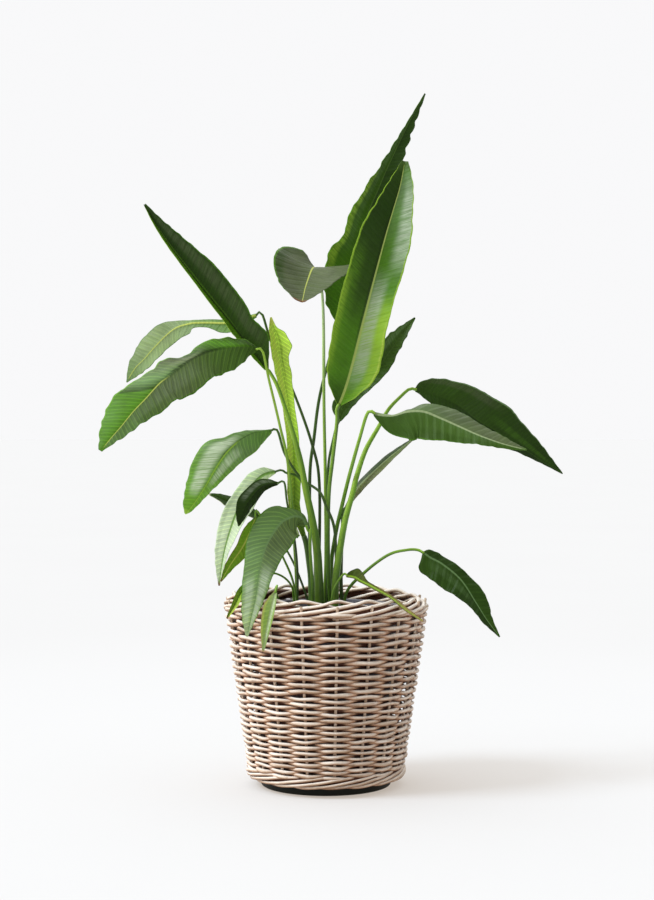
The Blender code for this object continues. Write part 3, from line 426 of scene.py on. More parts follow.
def leaf_material(name, look):
    s = Shade("leaf_" + name, Specular_IOR_Level=look["gloss"], IOR=1.45)
    share, across, offset, vein, under = s.attributes("share", "across", "offset", "vein", "under")
    where = s.place()
    patch = s.noise(where, 38.0, 3.0, 0.55)
    slanted = s.math("SUBTRACT", share, s.times(across, look["skew"]))
    # the halves' tones are partly painted light and shade: one half lit, the other shaded, split on a slanted line on
    # some leaves
    colour = s.mix(s.smooth(across, -0.05, 0.05), s.tones(share, look["left"]), s.tones(slanted, look["right"]))
    colour = s.mix(under, colour, s.tones(share, look["under"]))
    # broad patches of lighter and darker tissue
    colour = s.tint(colour, patch, 0.35, 0.75, 0.35, (1.0, 1.25, 0.7))
    colour = s.tint(colour, patch, 0.55, 0.25, 0.4, (0.6, 0.68, 0.55))
    # side veins that leave the midrib: strong ones, and fine ones between them
    lane = s.math("ADD", vein, s.times(s.noise(where, 90.0), 1.6))
    coarse, fine = [s.math("SINE", s.times(lane, math.tau / pitch)) for pitch in VEIN_PITCHES]
    colour = s.mix(s.times(s.smooth(coarse, 0.55, 1.0), look["vein"]), colour, (1.9, 1.8, 1.5), "MULTIPLY")
    colour = s.tint(colour, fine, -1.0, 1.0, 0.22, (0.62, 0.70, 0.55))
    # streaks that run along the veins
    streak = s.noise(s.vector(s.times(lane, 0.5), s.times(offset, 0.03), under), 1.0, 3.0, 0.6)
    colour = s.tint(colour, streak, 0.45, 0.75, 0.35, (1.35, 1.3, 1.15))
    # bands: painted sheen (a painted reflection), painted shade in creases beside the midrib, and the leaf's own
    # tones
    for tone, middle, reach, first, last, strength in look["bands"]:
        away = s.math("ABSOLUTE", s.math("SUBTRACT", across, middle))
        here = s.times(s.smooth(away, reach, reach * 0.3), s.smooth(share, first - 0.06, first + 0.08))
        here = s.times(here, s.smooth(share, last + 0.06, last - 0.08))
        here = s.times(here, s.smooth(streak, 0.30, 0.62, 0.25 * strength, strength))
        colour = s.mix(here, colour, TONES[tone])
    # midrib, margins and tip
    rib_width = s.smooth(share, 0.0, 1.0, 1.5 * look["rib_size"], 0.5 * look["rib_size"])
    rib = s.smooth(s.math("DIVIDE", s.math("ABSOLUTE", offset), rib_width), 1.15, 0.65)
    if look["rib_from"]:
        rib = s.times(rib, s.smooth(share, look["rib_from"] - 0.04, look["rib_from"] + 0.04))
    colour = s.mix(s.times(rib, look["rib_strength"]), colour, TONES[look["rib"]])
    rag = s.times(s.noise(where, 160.0), 0.05)
    left_tone, right_tone = look["edges"].split()
    colour = s.cover(colour, s.math("SUBTRACT", across, rag), -0.95, -1.0, 1.0, TONES[left_tone])
    colour = s.cover(colour, s.math("ADD", across, rag), 0.955, 1.0, 1.0, TONES[right_tone])
    colour = s.cover(colour, s.math("ADD", share, rag), 0.975, 1.02, 1.0, TONES[look["tip"]])
    # small spots and scratches
    colour = s.tint(colour, s.noise(where, 420.0, 2.0, 0.6), 0.66, 0.74, 0.5, (1.5, 1.4, 0.9))
    rough = s.smooth(s.noise(where, 55.0, 3.0, 0.6), 0.3, 0.7, 0.33, 0.48)
    normal = s.bump(s.math("ADD", s.times(fine, 0.35), s.times(coarse, 0.75)), 0.00028, 0.55)
    return s.done(colour, rough, s.bump(s.noise(where, 700.0), 0.0002, 0.25, Normal=normal))


def stem_material(name, tones):
    s = Shade("stem_" + name, Specular_IOR_Level=0.45)
    share, around, along = s.attributes("share", "around", "along")
    where = s.place()
    # the left side takes the first tones and the right side the second: painted light on the left, painted shade on
    # the right
    left, right = [s.tones(share, names) for names in tones]
    turn = s.math("SINE", s.times(around, math.tau))
    colour = s.mix(s.smooth(turn, -0.7, 0.7), left, right)
    # lengthwise fibres, a broad drift of tone and dark speckles
    streak = s.noise(s.vector(s.times(around, 26.0), s.times(along, 0.035)), 1.0, 4.0, 0.6)
    colour = s.tint(colour, streak, 0.35, 0.7, 0.55, (1.7, 1.55, 1.35))
    colour = s.tint(colour, streak, 0.5, 0.25, 0.6, (0.5, 0.6, 0.45))
    colour = s.tint(colour, s.noise(where, 16.0), 0.4, 0.7, 0.5, (0.62, 0.7, 0.5))
    colour = s.tint(colour, s.noise(where, 330.0), 0.62, 0.72, 0.6, (0.45, 0.4, 0.3))
    return s.done(colour, s.smooth(s.noise(where, 120.0), 0.3, 0.7, 0.34, 0.5), s.bump(streak, 0.0005, 0.6))


def rattan_material():
    s = Shade("rattan", Specular_IOR_Level=0.4)
    along, around, tone, deep, lift = s.attributes("along", "around", "tone", "deep", "lift")
    seed = s.times(tone, 37.0)
    fibre = s.noise(s.vector(s.times(along, 0.05), s.times(around, 14.0), seed), 1.0, 5.0, 0.65)
    blotch = s.noise(s.vector(s.times(along, 0.045), s.times(around, 1.2), seed), 1.0, 3.0, 0.6)
    long_tone = s.noise(s.vector(s.times(along, 0.011), 0.0, seed), 1.0)
    colour = s.mix(s.smooth(long_tone, 0.32, 0.68), (0.61, 0.44, 0.295), (0.96, 0.825, 0.675))
    colour = s.cover(colour, blotch, 0.52, 0.72, 0.7, (0.95, 0.88, 0.80))
    colour = s.cover(colour, blotch, 0.46, 0.30, 0.7, (0.34, 0.22, 0.14))
    colour = s.tint(colour, fibre, 0.5, 0.28, 0.52, (0.44, 0.36, 0.29))
    colour = s.cover(colour, fibre, 0.55, 0.8, 0.4, (0.92, 0.87, 0.82))
    # painted highlight on the strands' upper faces and painted shade, warm and dark, on their undersides
    lift = s.math("ADD", lift, s.times(s.math("SUBTRACT", fibre, 0.5), 1.2))
    colour = s.tint(colour, lift, 0.3, -0.75, 0.92, (0.38, 0.19, 0.085))
    colour = s.cover(colour, lift, 0.15, 0.75, 0.72, (1.0, 0.95, 0.89))
    colour = s.tint(colour, tone, 0.5, 0.0, 0.45, (0.74, 0.66, 0.58))
    # painted shade where a strand dips behind a stake: darker towards where it dives, nearly black in the recess
    # behind the stake
    colour = s.tint(colour, deep, 0.12, 0.60, 0.7, (0.80, 0.52, 0.33))
    colour = s.tint(colour, deep, 0.60, 0.90, 1.0, (0.13, 0.055, 0.03))
    return s.done(colour, s.smooth(fibre, 0.3, 0.7, 0.62, 0.42), s.bump(fibre, 0.0009, 0.7))


def base_material():
    s = Shade("base", Specular_IOR_Level=0.4)
    fibre = s.noise(s.place(), 160.0, 4.0, 0.6)
    colour = s.mix(s.smooth(fibre, 0.3, 0.7), (0.30, 0.20, 0.12), (0.62, 0.50, 0.38))
    return s.done(colour, s.smooth(fibre, 0.3, 0.7, 0.6, 0.45), s.bump(fibre, 0.0012, 0.7))


def moulded_material(name, gloss, scale, dark, light, dust, dust_tone, rough, grain):
    """Plastic. Dust is its noise's scale and detail, where it starts and is full, and its strength."""
    s = Shade(name, Specular_IOR_Level=gloss)
    where = s.place()
    cloud = s.noise(where, scale, 4.0, 0.6)
    colour = s.mix(s.smooth(cloud, 0.3, 0.7), dark, light)
    colour = s.cover(colour, s.noise(where, *dust[:2], 0.7), *dust[2:], dust_tone)
    return s.done(colour, s.smooth(cloud, 0.3, 0.7, *rough), s.bump(s.noise(where, grain), 0.0003, 0.3))


def soil_material():
    s = Shade("soil", Specular_IOR_Level=0.25)
    where = s.place()
    crumb, grain = s.noise(where, 130.0, 5.0, 0.7), s.noise(where, 900.0, 3.0, 0.7)
    colour = s.mix(s.smooth(crumb, 0.3, 0.7), (0.018, 0.012, 0.008), (0.085, 0.055, 0.035))
    colour = s.cover(colour, grain, 0.60, 0.72, 0.7, (0.22, 0.15, 0.09))
    colour = s.cover(colour, s.attributes("tone")[0], 0.05, 1.0, 0.8, (0.20, 0.115, 0.06))
    height = s.math("ADD", crumb, s.times(grain, 0.4))
    return s.done(colour, s.smooth(crumb, 0.3, 0.7, 0.95, 0.75), s.bump(height, 0.002, 0.8))


def floor_material():
    s = Shade("floor", Specular_IOR_Level=0.0, Roughness=0.9, Emission_Strength=FLOOR_GLOW,
              Emission_Color=(1.136, 1.0, 0.866, 1.0))
    light, dim = [tuple(FLOOR_ALBEDO * share for share in shares) for shares in ((0.90, 1, 1.10), (0.89, 0.99, 1.09))]
    tone = s.mix(s.smooth(s.noise(s.place(), 1.3), 0.3, 0.7), light, dim)
    # the far floor is a little dimmer, so that it meets the background without a line
    far = s.node("VectorMath", {"operation": "LENGTH"}, {0: s.place()}).outputs["Value"]
    return s.done(s.tint(tone, far, 0.5, 2.2, 1.0, (0.935, 0.935, 0.935)))


def placed(name, data):
    """A new object in the scene."""
    obj = bpy.data.objects.new(name, data)
    bpy.context.scene.collection.objects.link(obj)
    return obj


def new_piece(name, node, points, quads, material, attributes=()):
    """A mesh object from points in mm, quads and named values at the points, which replaces a node."""
    mesh = bpy.data.meshes.new(name)
    points = np.asarray(points, float) * MM
    quads = np.asarray(quads, np.int32)
    mesh.vertices.add(len(points))
    mesh.vertices.foreach_set("co", points.ravel())
    mesh.loops.add(quads.size)
    mesh.loops.foreach_set("vertex_index", quads.ravel())
    mesh.polygons.add(len(quads))
    mesh.polygons.foreach_set("loop_start", np.arange(0, quads.size, quads.shape[1], dtype=np.int32))
    for key, value in dict(attributes).items():
        layer = mesh.attributes.new(key, "FLOAT", "POINT")
        layer.data.foreach_set("value", np.asarray(value, np.float32).ravel())
    mesh.update(calc_edges=True)
    mesh.validate()
    mesh.shade_smooth()
    mesh.materials.append(material)
    obj = placed(name, mesh)
    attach(obj, "root")
    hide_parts(node)


def unit(v):
    return v / np.maximum(np.linalg.norm(v, axis=-1, keepdims=True), 1e-12)


def circle(count):
    return np.arange(count) * math.tau / count


def polar(radius, angle, z):
    return np.stack(np.broadcast_arrays(radius * np.cos(angle), radius * np.sin(angle), z), -1)


def lengths(path):
    """The distance from the path's first point to each of its points."""
    return np.concatenate([[0], np.cumsum(np.linalg.norm(np.diff(path, axis=0), axis=1))])


def grid_quads(rows, columns, closed_rows=False, closed_columns=False, first=0):
    """Quads between neighbouring points of a grid, row by row."""
    i = np.arange(rows if closed_rows else rows - 1)
    j = np.arange(columns if closed_columns else columns - 1)
    i, j = np.meshgrid(i, j, indexing="ij")
    k, m = (i + 1) % rows, (j + 1) % columns
    return first + np.stack([i * columns + j, i * columns + m, k * columns + m, k * columns + j], -1).reshape(-1, 4)


class Bundle:
    """Collects several tubes that become one mesh."""

    def __init__(self):
        self.points, self.quads, self.values, self.count = [], [], {}, 0

    def add(self, points, quads, **values):
        points = points.reshape(-1, 3)
        self.points.append(points)
        self.quads.append(quads + self.count)
        self.count += len(points)
        for key, value in values.items():
            self.values.setdefault(key, []).append(np.broadcast_to(value, (len(points),)))

    def piece(self, name, node, material):
        values = {key: np.concatenate(value) for key, value in self.values.items()}
        new_piece(name, node, np.concatenate(self.points), np.concatenate(self.quads), material, values)


def ring_tube(bundle, path, thick, high, sides, tone, deep):
    """A closed strand: path (n, 3), its thickness away from the axis and its height at each point."""
    n = len(path)
    tangent = unit(np.roll(path, -1, 0) - np.roll(path, 1, 0))
    out = path * (1, 1, 0)
    out = unit(out - (out * tangent).sum(1, keepdims=True) * tangent)
    up = np.cross(out, tangent)
    angle = circle(sides)
    points = (path[:, None] + out[:, None] * (thick[:, None, None] / 2) * np.cos(angle)[None, :, None]
              + up[:, None] * (high[:, None, None] / 2) * np.sin(angle)[None, :, None])
    bundle.add(points, grid_quads(n, sides, True, True), along=np.repeat(lengths(path), sides),
               around=np.tile(np.abs(angle / math.pi - 1), n), lift=np.tile(np.sin(angle), n), tone=tone,
               deep=np.repeat(deep, sides))


def rod(bundle, path, radius, sides, tone, deep=0.0):
    """An open round rod with rounded ends: path (n, 3) and one radius or one for each point."""
    radius = np.broadcast_to(radius, (len(path),))
    tangent = unit(np.gradient(path, axis=0))
    guide = np.array((0.0, 0.0, 1.0)) if abs(tangent[:, 2]).mean() < 0.8 else np.array((1.0, 0.0, 0.0))
    out = unit(guide - (tangent @ guide)[:, None] * tangent)
    up = np.cross(tangent, out)
    path = np.concatenate([path[:1] - tangent[:1] * END_REACH * radius[0], path,
                           path[-1:] + tangent[-1:] * END_REACH * radius[-1]])
    radius = np.concatenate([radius[:1] * END_SIZE, radius, radius[-1:] * END_SIZE])
    out, up = [np.concatenate([v[:1], v, v[-1:]]) for v in (out, up)]
    n, angle = len(path), circle(sides)
    cos, sin = np.cos(angle)[None, :, None], np.sin(angle)[None, :, None]
    points = (path[:, None] + radius[:, None, None] * (out[:, None] * cos + up[:, None] * sin)).reshape(-1, 3)
    first, last, start = len(points), len(points) + 1, (n - 1) * sides
    half = np.arange(0, sides - 1, 2)
    quads = np.concatenate([
        grid_quads(n, sides, False, True),
        np.stack([np.full(len(half), first), (half + 2) % sides, (half + 1) % sides, half], 1),
        np.stack([np.full(len(half), last), start + half, start + (half + 1) % sides, start + (half + 2) % sides], 1),
    ])
    along = lengths(path)
    facing = (out[:, None, 2] * np.cos(angle)[None] + up[:, None, 2] * np.sin(angle)[None]).ravel()
    bundle.add(np.concatenate([points, path[:1], path[-1:]]), quads,
               along=np.concatenate([np.repeat(along, sides), along[[0, -1]]]),
               around=np.concatenate([np.tile(np.abs(angle / math.pi - 1), n), [0.5, 0.5]]),
               lift=np.concatenate([facing, [0.0, 0.0]]), tone=tone, deep=deep)


def drift(n, waves, size):
    """A smooth random line round a ring."""
    line = np.zeros(n)
    for k in range(1, waves + 1):
        line += rng.normal() * np.cos(k * circle(n) + rng.uniform(0, math.tau)) / math.sqrt(waves)
    return size * line


def wall_radius(z):
    t = (z - WALL_BOTTOM_Z) / (WALL_TOP_Z - WALL_BOTTOM_Z)
    return WALL_BOTTOM_RADIUS + t * (WALL_TOP_RADIUS - WALL_BOTTOM_RADIUS)


def make_wall(material):
    bundle = Bundle()
    angle = circle(RING_STEPS)
    phase = (angle - STAKE_SHIFT) * STAKES / 2
    t = (np.arange(ROWS) + 0.5) / ROWS
    levels = WALL_BOTTOM_Z + (WALL_TOP_Z - WALL_BOTTOM_Z) * (ROW_SLOWNESS * t + (1 - ROW_SLOWNESS) * t * t)
    levels = np.concatenate([levels[0] - PACKED_PITCH * np.arange(PACKED_ROWS, 0, -1), levels])
    for row, (z, pitch) in enumerate(zip(levels, np.gradient(levels))):
        # the phase of neighbouring rows is opposite, and a strand crosses the wall between two stakes
        swing = np.cos(phase + math.pi * row)
        swing = np.sign(swing) * np.abs(swing) ** 0.85
        swing = swing + 0.12 * (1 - swing ** 2)
        level = z + drift(RING_STEPS, *LEVEL_DRIFT)
        radius = wall_radius(level) - WALL_DEPTH + WEAVE_SWING * swing + drift(RING_STEPS, *SWING_DRIFT)
        size = STRAND * (1 + drift(RING_STEPS, *SIZE_DRIFT)) * rng.uniform(*SIZE_SPREAD)
        low = pitch * 1.02
        high = np.minimum(low + (size - low) * np.clip(np.abs(swing), 0, 1), size * 1.15)
        path = polar(radius, angle, level)
        ring_tube(bundle, path, size * 0.96, high, STRAND_SIDES, rng.uniform(), (1 - swing) / 2)
    z = np.linspace(WALL_BOTTOM_Z - STAKE_BELOW, WALL_TOP_Z + STAKE_ABOVE, 24)
    for k in range(STAKES):
        path = polar(wall_radius(z) - WALL_DEPTH + STAKE_OUT, STAKE_SHIFT + math.tau * k / STAKES, z)
        rod(bundle, path, STAKE_DIAMETER / 2, STRAND_SIDES, rng.uniform(), 0.15)
    bundle.piece("basket_weave", "basket_wall", material)


def spline(rows, where):
    """The smooth line through the rows at the given values of their first number."""
    rows = np.asarray(rows, float)
    knots = rows[:, 0]
    slopes = np.gradient(rows[:, 1:], knots, axis=0)
    i = np.clip(np.searchsorted(knots, where, side="right") - 1, 0, len(knots) - 2)
    span = (knots[i + 1] - knots[i])[:, None]
    t = ((where - knots[i])[:, None]) / span
    a, b = rows[i, 1:], rows[i + 1, 1:]
    m, n = slopes[i] * span, slopes[i + 1] * span
    return a * (1 + 2 * t) * (1 - t) ** 2 + m * t * (1 - t) ** 2 + b * t * t * (3 - 2 * t) - n * t * t * (1 - t)


def sagged(z, angle, sag):
    dip = np.maximum(np.cos(angle), 0) ** 4
    return z - sag * np.clip((z - RIM_LOW_Z) / (RIM_HIGH_Z - RIM_LOW_Z), 0, 1) * dip


def make_border(name, node, material, route, diameter, core, sag=0.0, hump=0.0):
    """One rod from each stake along the route, over a core that closes the gaps between them; the core is painted
    with the full shade of a recess, a very dark brown.
    """
    bundle = Bundle()
    passed = np.linspace(route[0][0], route[-1][0], BORDER_STEPS)
    for k in range(STAKES):
        line = spline(route, passed + rng.normal(0, 0.04) + 0.06 * np.sin(passed * 2 + rng.uniform(0, 6)))
        wobble = np.interp(passed, np.linspace(passed[0], passed[-1], 9), rng.normal(0, 0.35, 9))
        z = line[:, 1] - 0.6 * wobble + hump * np.exp(-((passed - 2) / 0.8) ** 2) * np.cos(math.tau * passed)
        angle = STAKE_SHIFT + math.tau * (k - passed) / STAKES
        path = polar(line[:, 0] + wobble, angle, sagged(z, angle, sag))
        size = diameter * rng.uniform(0.88, 1.06) * (1 - 0.25 * np.abs(np.linspace(-1, 1, BORDER_STEPS)) ** 8)
        rod(bundle, path, size / 2, ROD_SIDES, rng.uniform())
    # the core, painted with the deep shade between the rods
    radius, middle_z, reach, depth, slope = core
    angle, around = circle(RING_STEPS)[:, None], circle(ROD_SIDES)
    a, b = reach * np.cos(around), depth * np.sin(around)
    r = radius + a * math.cos(slope) - b * math.sin(slope)
    z = (middle_z + a * math.sin(slope) + b * math.cos(slope))[None]
    bundle.add(polar(r[None], angle, sagged(z, angle, sag)), grid_quads(RING_STEPS, ROD_SIDES, True, True),
               along=np.repeat(angle * radius, ROD_SIDES), around=np.tile(around / math.tau, RING_STEPS), lift=0.0,
               tone=0.5, deep=1.0)
    bundle.piece(name, node, material)


def turned(name, node, profile, material):
    """A solid of revolution: profile is radius and z in mm, from the bottom centre round to the top centre."""
    points = np.concatenate([polar(radius, circle(TURNED_SIDES), z) for radius, z in profile])
    new_piece(name, node, points, grid_quads(len(profile), TURNED_SIDES, False, True), material)


def arc(cx, cz, radius, start, end, steps):
    turn = np.radians(np.linspace(start, end, steps))
    return [(cx + radius * math.cos(a), cz + radius * math.sin(a)) for a in turn]


def make_plate_and_pot():
    plate = moulded_material("plate", 0.12, 26.0, (0.005, 0.007, 0.005), (0.014, 0.016, 0.012),
                             (240.0, 3.0, 0.6, 0.75, 0.12), (0.16, 0.13, 0.11), (0.42, 0.62), 900.0)
    profile = [(CENTRE, 0.0), (PLATE_RADIUS - 3, 0.0)]
    profile += arc(PLATE_RADIUS - 3, 3, 3, -80, 0, 6)
    profile += arc(PLATE_RADIUS - 2, PLATE_TOP_Z - 2, 2, 0, 90, 6)
    profile += [(PLATE_RADIUS - 12, PLATE_TOP_Z), (CENTRE, PLATE_TOP_Z)]
    turned("plate_turned", "foot_plate", profile, plate)
    pot = moulded_material("pot", 0.5, 20.0, (0.10, 0.10, 0.125), (0.17, 0.165, 0.20),
                           (300.0, 4.0, 0.58, 0.72, 0.35), (0.36, 0.34, 0.36), (0.32, 0.5), 600.0)
    slope = (POT_MOUTH_RADIUS - POT_FOOT_RADIUS) / (POT_TOP_Z - POT_BOTTOM_Z)
    lip_z = POT_TOP_Z - POT_LIP
    profile = [(CENTRE, POT_BOTTOM_Z), (POT_FOOT_RADIUS - 3, POT_BOTTOM_Z)]
    profile += arc(POT_FOOT_RADIUS - 3, POT_BOTTOM_Z + 3, 3, -80, 0, 5)
    profile += [(POT_MOUTH_RADIUS - slope * POT_LIP, lip_z), (POT_LIP_RADIUS - 0.8, lip_z)]
    profile += arc(POT_LIP_RADIUS - 1.2, lip_z + 1.2, 1.2, -60, 0, 4)
    profile += arc(POT_LIP_RADIUS - 1.8, POT_TOP_Z - 1.8, 1.8, 0, 90, 6)
    profile += arc(POT_MOUTH_RADIUS - POT_WALL + 1.2, POT_TOP_Z - 1.2, 1.2, 90, 180, 5)
    profile += [(POT_FOOT_RADIUS - POT_WALL, POT_BOTTOM_Z + POT_WALL), (CENTRE, POT_BOTTOM_Z + POT_WALL)]
    turned("pot_turned", "nursery_pot", profile, pot)


def value_noise(x, y, cell, seed):
    """Smooth random heights over the plane, between -1 and 1."""
    table = np.random.default_rng(seed).uniform(-1, 1, (64, 64))
    u, v = x / cell + 32, y / cell + 32
    i, j = np.floor(u).astype(int), np.floor(v).astype(int)
    fu, fv = u - i, v - j
    fu, fv = fu * fu * (3 - 2 * fu), fv * fv * (3 - 2 * fv)
    i, j = i % 63, j % 63
    return ((table[i, j] * (1 - fu) + table[i + 1, j] * fu) * (1 - fv)
            + (table[i, j + 1] * (1 - fu) + table[i + 1, j + 1] * fu) * fv)


def make_soil():
    bundle = Bundle()
    edge = POT_MOUTH_RADIUS - POT_WALL - (POT_TOP_Z - SOIL_TOP_Z) * 0.098 - 0.6
    angle = circle(RING_STEPS)
    r, a = np.meshgrid(np.linspace(CENTRE, edge, SOIL_RINGS), angle, indexing="ij")
    x, y = r * np.cos(a), r * np.sin(a)
    z = SOIL_TOP_Z
    for height, cell, seed in SOIL_WAVES:
        z = z + height * value_noise(x, y, cell, seed)
    top = np.stack([x, y, z - 1.5 * (r / edge) ** 6], -1)
    floor_z = POT_BOTTOM_Z + POT_WALL + 0.3
    foot = [polar(radius, angle, floor_z)[None] for radius in (POT_FOOT_RADIUS - POT_WALL - 0.6, CENTRE)]
    bundle.add(np.concatenate([top] + foot), grid_quads(SOIL_RINGS + 2, len(angle), False, True)[:, ::-1], tone=0.0)
    # chips of bark and crumbs that lie half sunk in the surface
    rows, columns = 5, 8
    la, lo = np.meshgrid(np.linspace(-1.45, 1.45, rows), circle(columns), indexing="ij")
    for _ in range(BARK_CHIPS):
        place = rng.uniform(0, math.tau)
        out = (edge - 5) * math.sqrt(rng.uniform())
        size = rng.uniform(1.2, 4.2) * (1.6 if rng.uniform() < 0.15 else 1.0)
        shape = np.array((rng.uniform(0.8, 1.9), rng.uniform(0.6, 1.2), rng.uniform(0.35, 0.8))) * size
        ball = np.stack([np.cos(la) * np.cos(lo), np.cos(la) * np.sin(lo), np.sin(la)], -1).reshape(-1, 3)
        ball = ball * rng.uniform(0.75, 1.15, (len(ball), 1)) * shape
        tilt, spin = rng.normal(0, 0.35), rng.uniform(0, math.tau)
        ct, st, cs, ss = math.cos(tilt), math.sin(tilt), math.cos(spin), math.sin(spin)
        ball = ball @ np.array(((ct, 0, st), (0, 1, 0), (-st, 0, ct)))
        ball = ball @ np.array(((cs, ss, 0), (-ss, cs, 0), (0, 0, 1)))
        cx, cy = out * math.cos(place), out * math.sin(place)
        height, cell, seed = SOIL_WAVES[0]
        cz = SOIL_TOP_Z + height * float(value_noise(np.array(cx), np.array(cy), cell, seed)) + 0.8
        bundle.add(ball + (cx, cy, cz), grid_quads(rows, columns, False, True)[:, ::-1], tone=rng.uniform(0.1, 1.0))
    bundle.piece("soil_surface", "soil", soil_material())


def smooth_rows(rows, count):
    """The rows' values at count stations spaced evenly along the smooth line through their first three numbers."""
    rows = np.asarray(rows, float)
    n = len(rows)
    where = np.linspace(0, n - 1, 60 * (n - 1) + 1)
    i = np.minimum(where.astype(int), n - 2)
    t = (where - i)[:, None]
    a, b, c, d = rows[np.maximum(i - 1, 0)], rows[i], rows[i + 1], rows[np.minimum(i + 2, n - 1)]
    fine = 0.5 * (2 * b + (c - a) * t + (2 * a - 5 * b + 4 * c - d) * t * t + (3 * b - a - 3 * c + d) * t ** 3)
    length = lengths(fine[:, :3])
    target = np.linspace(0, length[-1], count)
    return np.stack([np.interp(target, length, column) for column in fine.T], 1), length[-1]


def make_blade(name, form):
    rows = form["rows"]
    count = int(np.clip(smooth_rows(rows, 2)[1] / 2.0, *BLADE_ROWS))
    stations, length = smooth_rows(rows, count)
    spine = stations[:, :3]
    left, right = np.maximum(stations[:, 3:4], 1.0), np.maximum(stations[:, 4:5], 1.0)
    share = stations[:, 3:4] + stations[:, 4:5]
    share = np.maximum(share / share.max(), 0.02)
    along = unit(np.gradient(spine, axis=0))
    face = unit(np.array(form["face"], float))
    out = unit(face - (along @ face)[:, None] * along)
    side = np.cross(along, out)
    part = np.linspace(-1, 1, BLADE_COLUMNS)
    part = np.sign(part) * np.abs(part) ** 0.93
    t = np.linspace(0, 1, count)[:, None]
    s = t * length
    width = np.where(part < 0, left, right)
    # the margins run in and out a little
    x = width * part
    edge = np.abs(part) ** 3
    for period, right_shift, depth in MARGIN_WAVES:
        bends = np.sin(math.tau * s / period + np.where(part < 0, 0.0, right_shift) + 6 * np.sin(7 * t))
        x = x + np.sign(part) * edge * depth * form["scallop"] * np.minimum(width / 12, 1) * bends
    rise = np.where(part < 0, *form["rise"]) * share * np.abs(part) ** CUP_POWER
    shift = np.where(part < 0, 0.0, RIGHT_WAVE_SHIFT)
    wave = EDGE_WAVE * share * part ** 2 * np.sin(math.tau * (form["waves"] * t + shift))
    vein = s - form["slope"] * np.abs(x)
    # pleats between the side veins, ruffles along the margins and a groove along the midrib
    bend = np.cumsum(np.random.default_rng(hash_name(name)).normal(0, 0.25, count))[:, None] * 0.3
    fade = np.clip(np.abs(x) / 8.0, 0, 1)
    pleat = form["pleat"] * fade * share ** 0.5 * np.sin(math.tau * vein / PLEAT_PITCH + bend)
    ruffle = form["ruffle"] * np.abs(part) ** 4 * share * np.sin(math.tau * s / RUFFLE_PITCH + shift * 7 + bend * 2)
    groove = -GROOVE[0] * np.exp(-(x / GROOVE[1]) ** 2) * (1 - 0.6 * t)
    height = rise + wave + pleat + ruffle + groove
    top = spine[:, None] + side[:, None] * x[..., None] + out[:, None] * height[..., None]
    normal = unit(np.cross(np.gradient(top, axis=1), np.gradient(top, axis=0)))
    rib = RIB[0] * (1 - t) ** 1.1 * np.exp(-(x / RIB[1]) ** 2) * np.clip(t * count / 2, 0.6, 1)
    under = top - normal * (BLADE_THICKNESS - THINNER_MARGIN * np.abs(part) ** 6 + rib)[..., None]
    size, c = count * BLADE_COLUMNS, BLADE_COLUMNS
    i, j, end = np.arange(count - 1), np.arange(c - 1), (count - 1) * c
    quads = np.concatenate([
        grid_quads(count, c), grid_quads(count, c, first=size)[:, ::-1],
        np.stack([i * c, (i + 1) * c, size + (i + 1) * c, size + i * c], 1),
        np.stack([size + i * c + c - 1, size + (i + 1) * c + c - 1, (i + 1) * c + c - 1, i * c + c - 1], 1),
        np.stack([size + j, size + j + 1, j + 1, j], 1),
        np.stack([end + j, end + j + 1, size + end + j + 1, size + end + j], 1),
    ])
    fields = {"share": t, "across": part, "offset": x, "vein": vein}
    values = {key: np.tile(np.broadcast_to(value, (count, c)).ravel(), 2) for key, value in fields.items()}
    values["under"] = np.repeat([0.0, 1.0], size)
    points = np.concatenate([top.reshape(-1, 3), under.reshape(-1, 3)])
    new_piece(name + "_blade", "blade_" + name, points, quads, leaf_material(name, form), values)


def hash_name(name):
    """A number that depends on the name alone, and is the same in every run."""
    value = 0
    for letter in name:
        value = (value * 31 + ord(letter)) % 1000003
    return value


def stem_route(form):
    start, following = (np.array(row[:3], float) for row in form["rows"][:2])
    along = unit(following - start)
    x, y, soil_z = form["stem"][0]
    return [(x, y, soil_z - STEM_DEPTH), (x, y, soil_z + 2), *form["stem"][1:], tuple(start - along * STEM_LEAD),
            tuple(start + along * STEM_INTO_BLADE)]


def make_stem(name, form):
    stations, length = smooth_rows(stem_route(form), STEM_STEPS)
    path = stations[:, :3]
    tangent = unit(np.gradient(path, axis=0))
    tangent[0] = (0, 0, 1)
    out = np.zeros_like(path)
    guide = np.array((0.0, -1.0, 0.0))
    for i in range(STEM_STEPS):
        guide = unit(guide - (guide @ tangent[i]) * tangent[i])
        out[i] = guide
    side = np.cross(tangent, out)
    t = np.linspace(0, 1, STEM_STEPS)
    first, last = form["radius"]
    local = np.random.default_rng(hash_name(name) + 1)
    radius = (first + (last - first) * t) * (1 + 0.03 * np.interp(t, np.linspace(0, 1, 9), local.normal(0, 1, 9)))
    # the stalk is grooved along its front
    angle = circle(STEM_SIDES)
    groove = 1 - 0.12 * np.exp(-((angle[None] - 1.5 * math.pi) / 0.5) ** 2) * np.clip(t[:, None] * 3, 0, 1)
    points = path[:, None] + (radius[:, None] * groove)[..., None] * (
        np.cos(angle)[None, :, None] * side[:, None] - np.sin(angle)[None, :, None] * out[:, None])
    # a blunt end of one point, repeated for each side
    points = np.concatenate([points.reshape(-1, 3), np.repeat(path[-1:] + tangent[-1:] * 0.6, STEM_SIDES, 0)])
    tip, j = STEM_STEPS * STEM_SIDES, np.arange(STEM_SIDES)
    ring, after = tip - STEM_SIDES, (j + 1) % STEM_SIDES
    quads = np.concatenate([grid_quads(STEM_STEPS, STEM_SIDES, False, True),
                            np.stack([ring + j, ring + after, tip + after, tip + j], 1)])
    values = {
        "share": np.repeat(np.append(t, 1.0), STEM_SIDES),
        "around": np.tile(angle / math.tau + 0.25, STEM_STEPS + 1),
        "along": np.repeat(np.append(t, 1.0) * length, STEM_SIDES),
    }
    new_piece(name + "_stem", "stem_" + name, points, quads, stem_material(name, form["stalk"]), values)


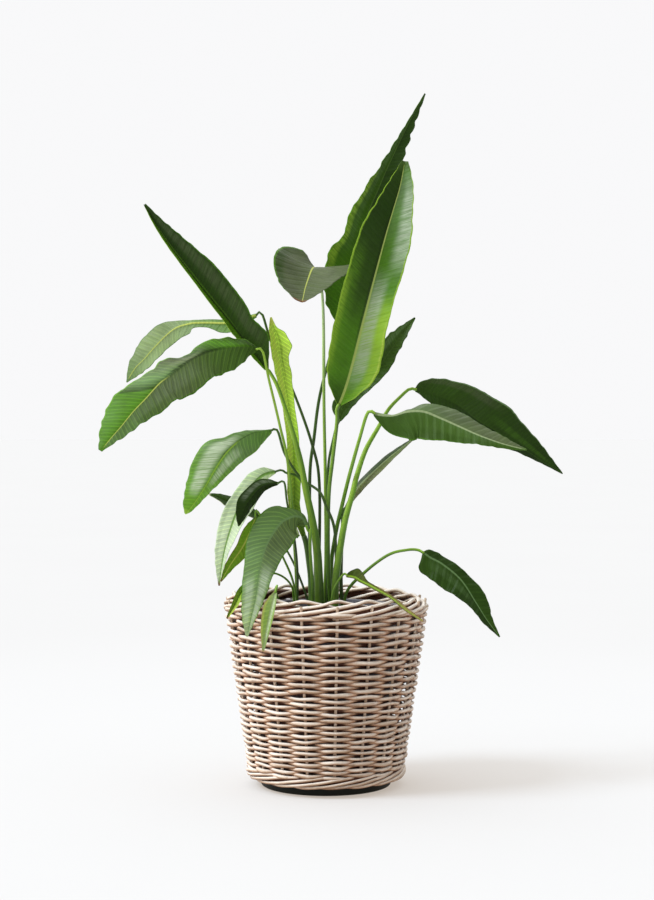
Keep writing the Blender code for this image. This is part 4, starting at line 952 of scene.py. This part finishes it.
def make_stage():
    mesh = bpy.data.meshes.new("floor")
    corners = [(x * FLOOR_SIZE, y * FLOOR_SIZE, 0) for x, y in ((-1, -1), (1, -1), (1, 1), (-1, 1))]
    mesh.from_pydata(corners, [], [(0, 1, 2, 3)])
    mesh.materials.append(floor_material())
    floor = placed("floor", mesh)
    floor.location.z = -0.0002
    data = bpy.data.lights.new("key", "SUN")
    data.angle = math.radians(KEY_SOFTNESS)
    height = KEY_DIRECTION[2] / math.hypot(*KEY_DIRECTION)
    data.energy = math.pi * KEY_SHARE / height
    data.color = KEY_COLOUR
    placed("key", data).rotation_euler = Vector(KEY_DIRECTION).to_track_quat("Z", "Y").to_euler()
    # the room: bright from the left and above, dimmer from the right and from behind the camera
    world = bpy.data.worlds.new("studio")
    world.use_nodes = True
    n = Nodes(world.node_tree)
    x, y, z = n.node("SeparateXYZ", (), {0: n.node("TexCoord").outputs["Generated"]}).outputs
    level = n.math("ADD", n.smooth(x, -1.0, 0.9, ROOM_LEFT, ROOM_RIGHT), n.smooth(z, -0.1, 0.9, 0.0, ROOM_TOP))
    room = n.times(level, n.smooth(y, -0.9, 0.1, ROOM_FRONT, 1.0))
    seen = n.node("LightPath").outputs["Is Camera Ray"]
    strength = n.node("Mix", {"data_type": "FLOAT"}, {0: seen, 2: room, 3: BACKGROUND}).outputs[0]
    surround = world.node_tree.nodes["Background"].inputs
    n.tree.links.new(n.mix(seen, (1.018, 1.0, 0.982), (1.0, 1.0, 1.01)), surround["Color"])
    n.tree.links.new(strength, surround["Strength"])
    bpy.context.scene.world = world


def make_camera():
    data = bpy.data.cameras.new("camera")
    data.lens = CAMERA_LENS
    data.sensor_width = 36.0
    camera = placed("camera", data)
    camera.location = CAMERA_PLACE
    camera.rotation_euler = (math.radians(90) - CAMERA_DROP, 0, 0)
    bpy.context.scene.camera = camera
    bpy.context.scene.view_settings.view_transform = "Standard"


rattan = rattan_material()
make_wall(rattan)
make_border("basket_rolled_rim", "basket_rim", rattan, RIM_ROUTE, RIM_ROD, RIM_CORE, RIM_SAG, RIM_HUMP)
make_border("basket_foot_rope", "basket_foot_border", rattan, FOOT_ROUTE, FOOT_ROD, FOOT_CORE)
for base_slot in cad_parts["basket_base"].material_slots:
    base_slot.link = "OBJECT"
    base_slot.material = base_material()
make_plate_and_pot()
make_soil()
for leaf_name, form in LEAVES.items():
    make_blade(leaf_name, form)
    make_stem(leaf_name, form)
make_stage()
make_camera()
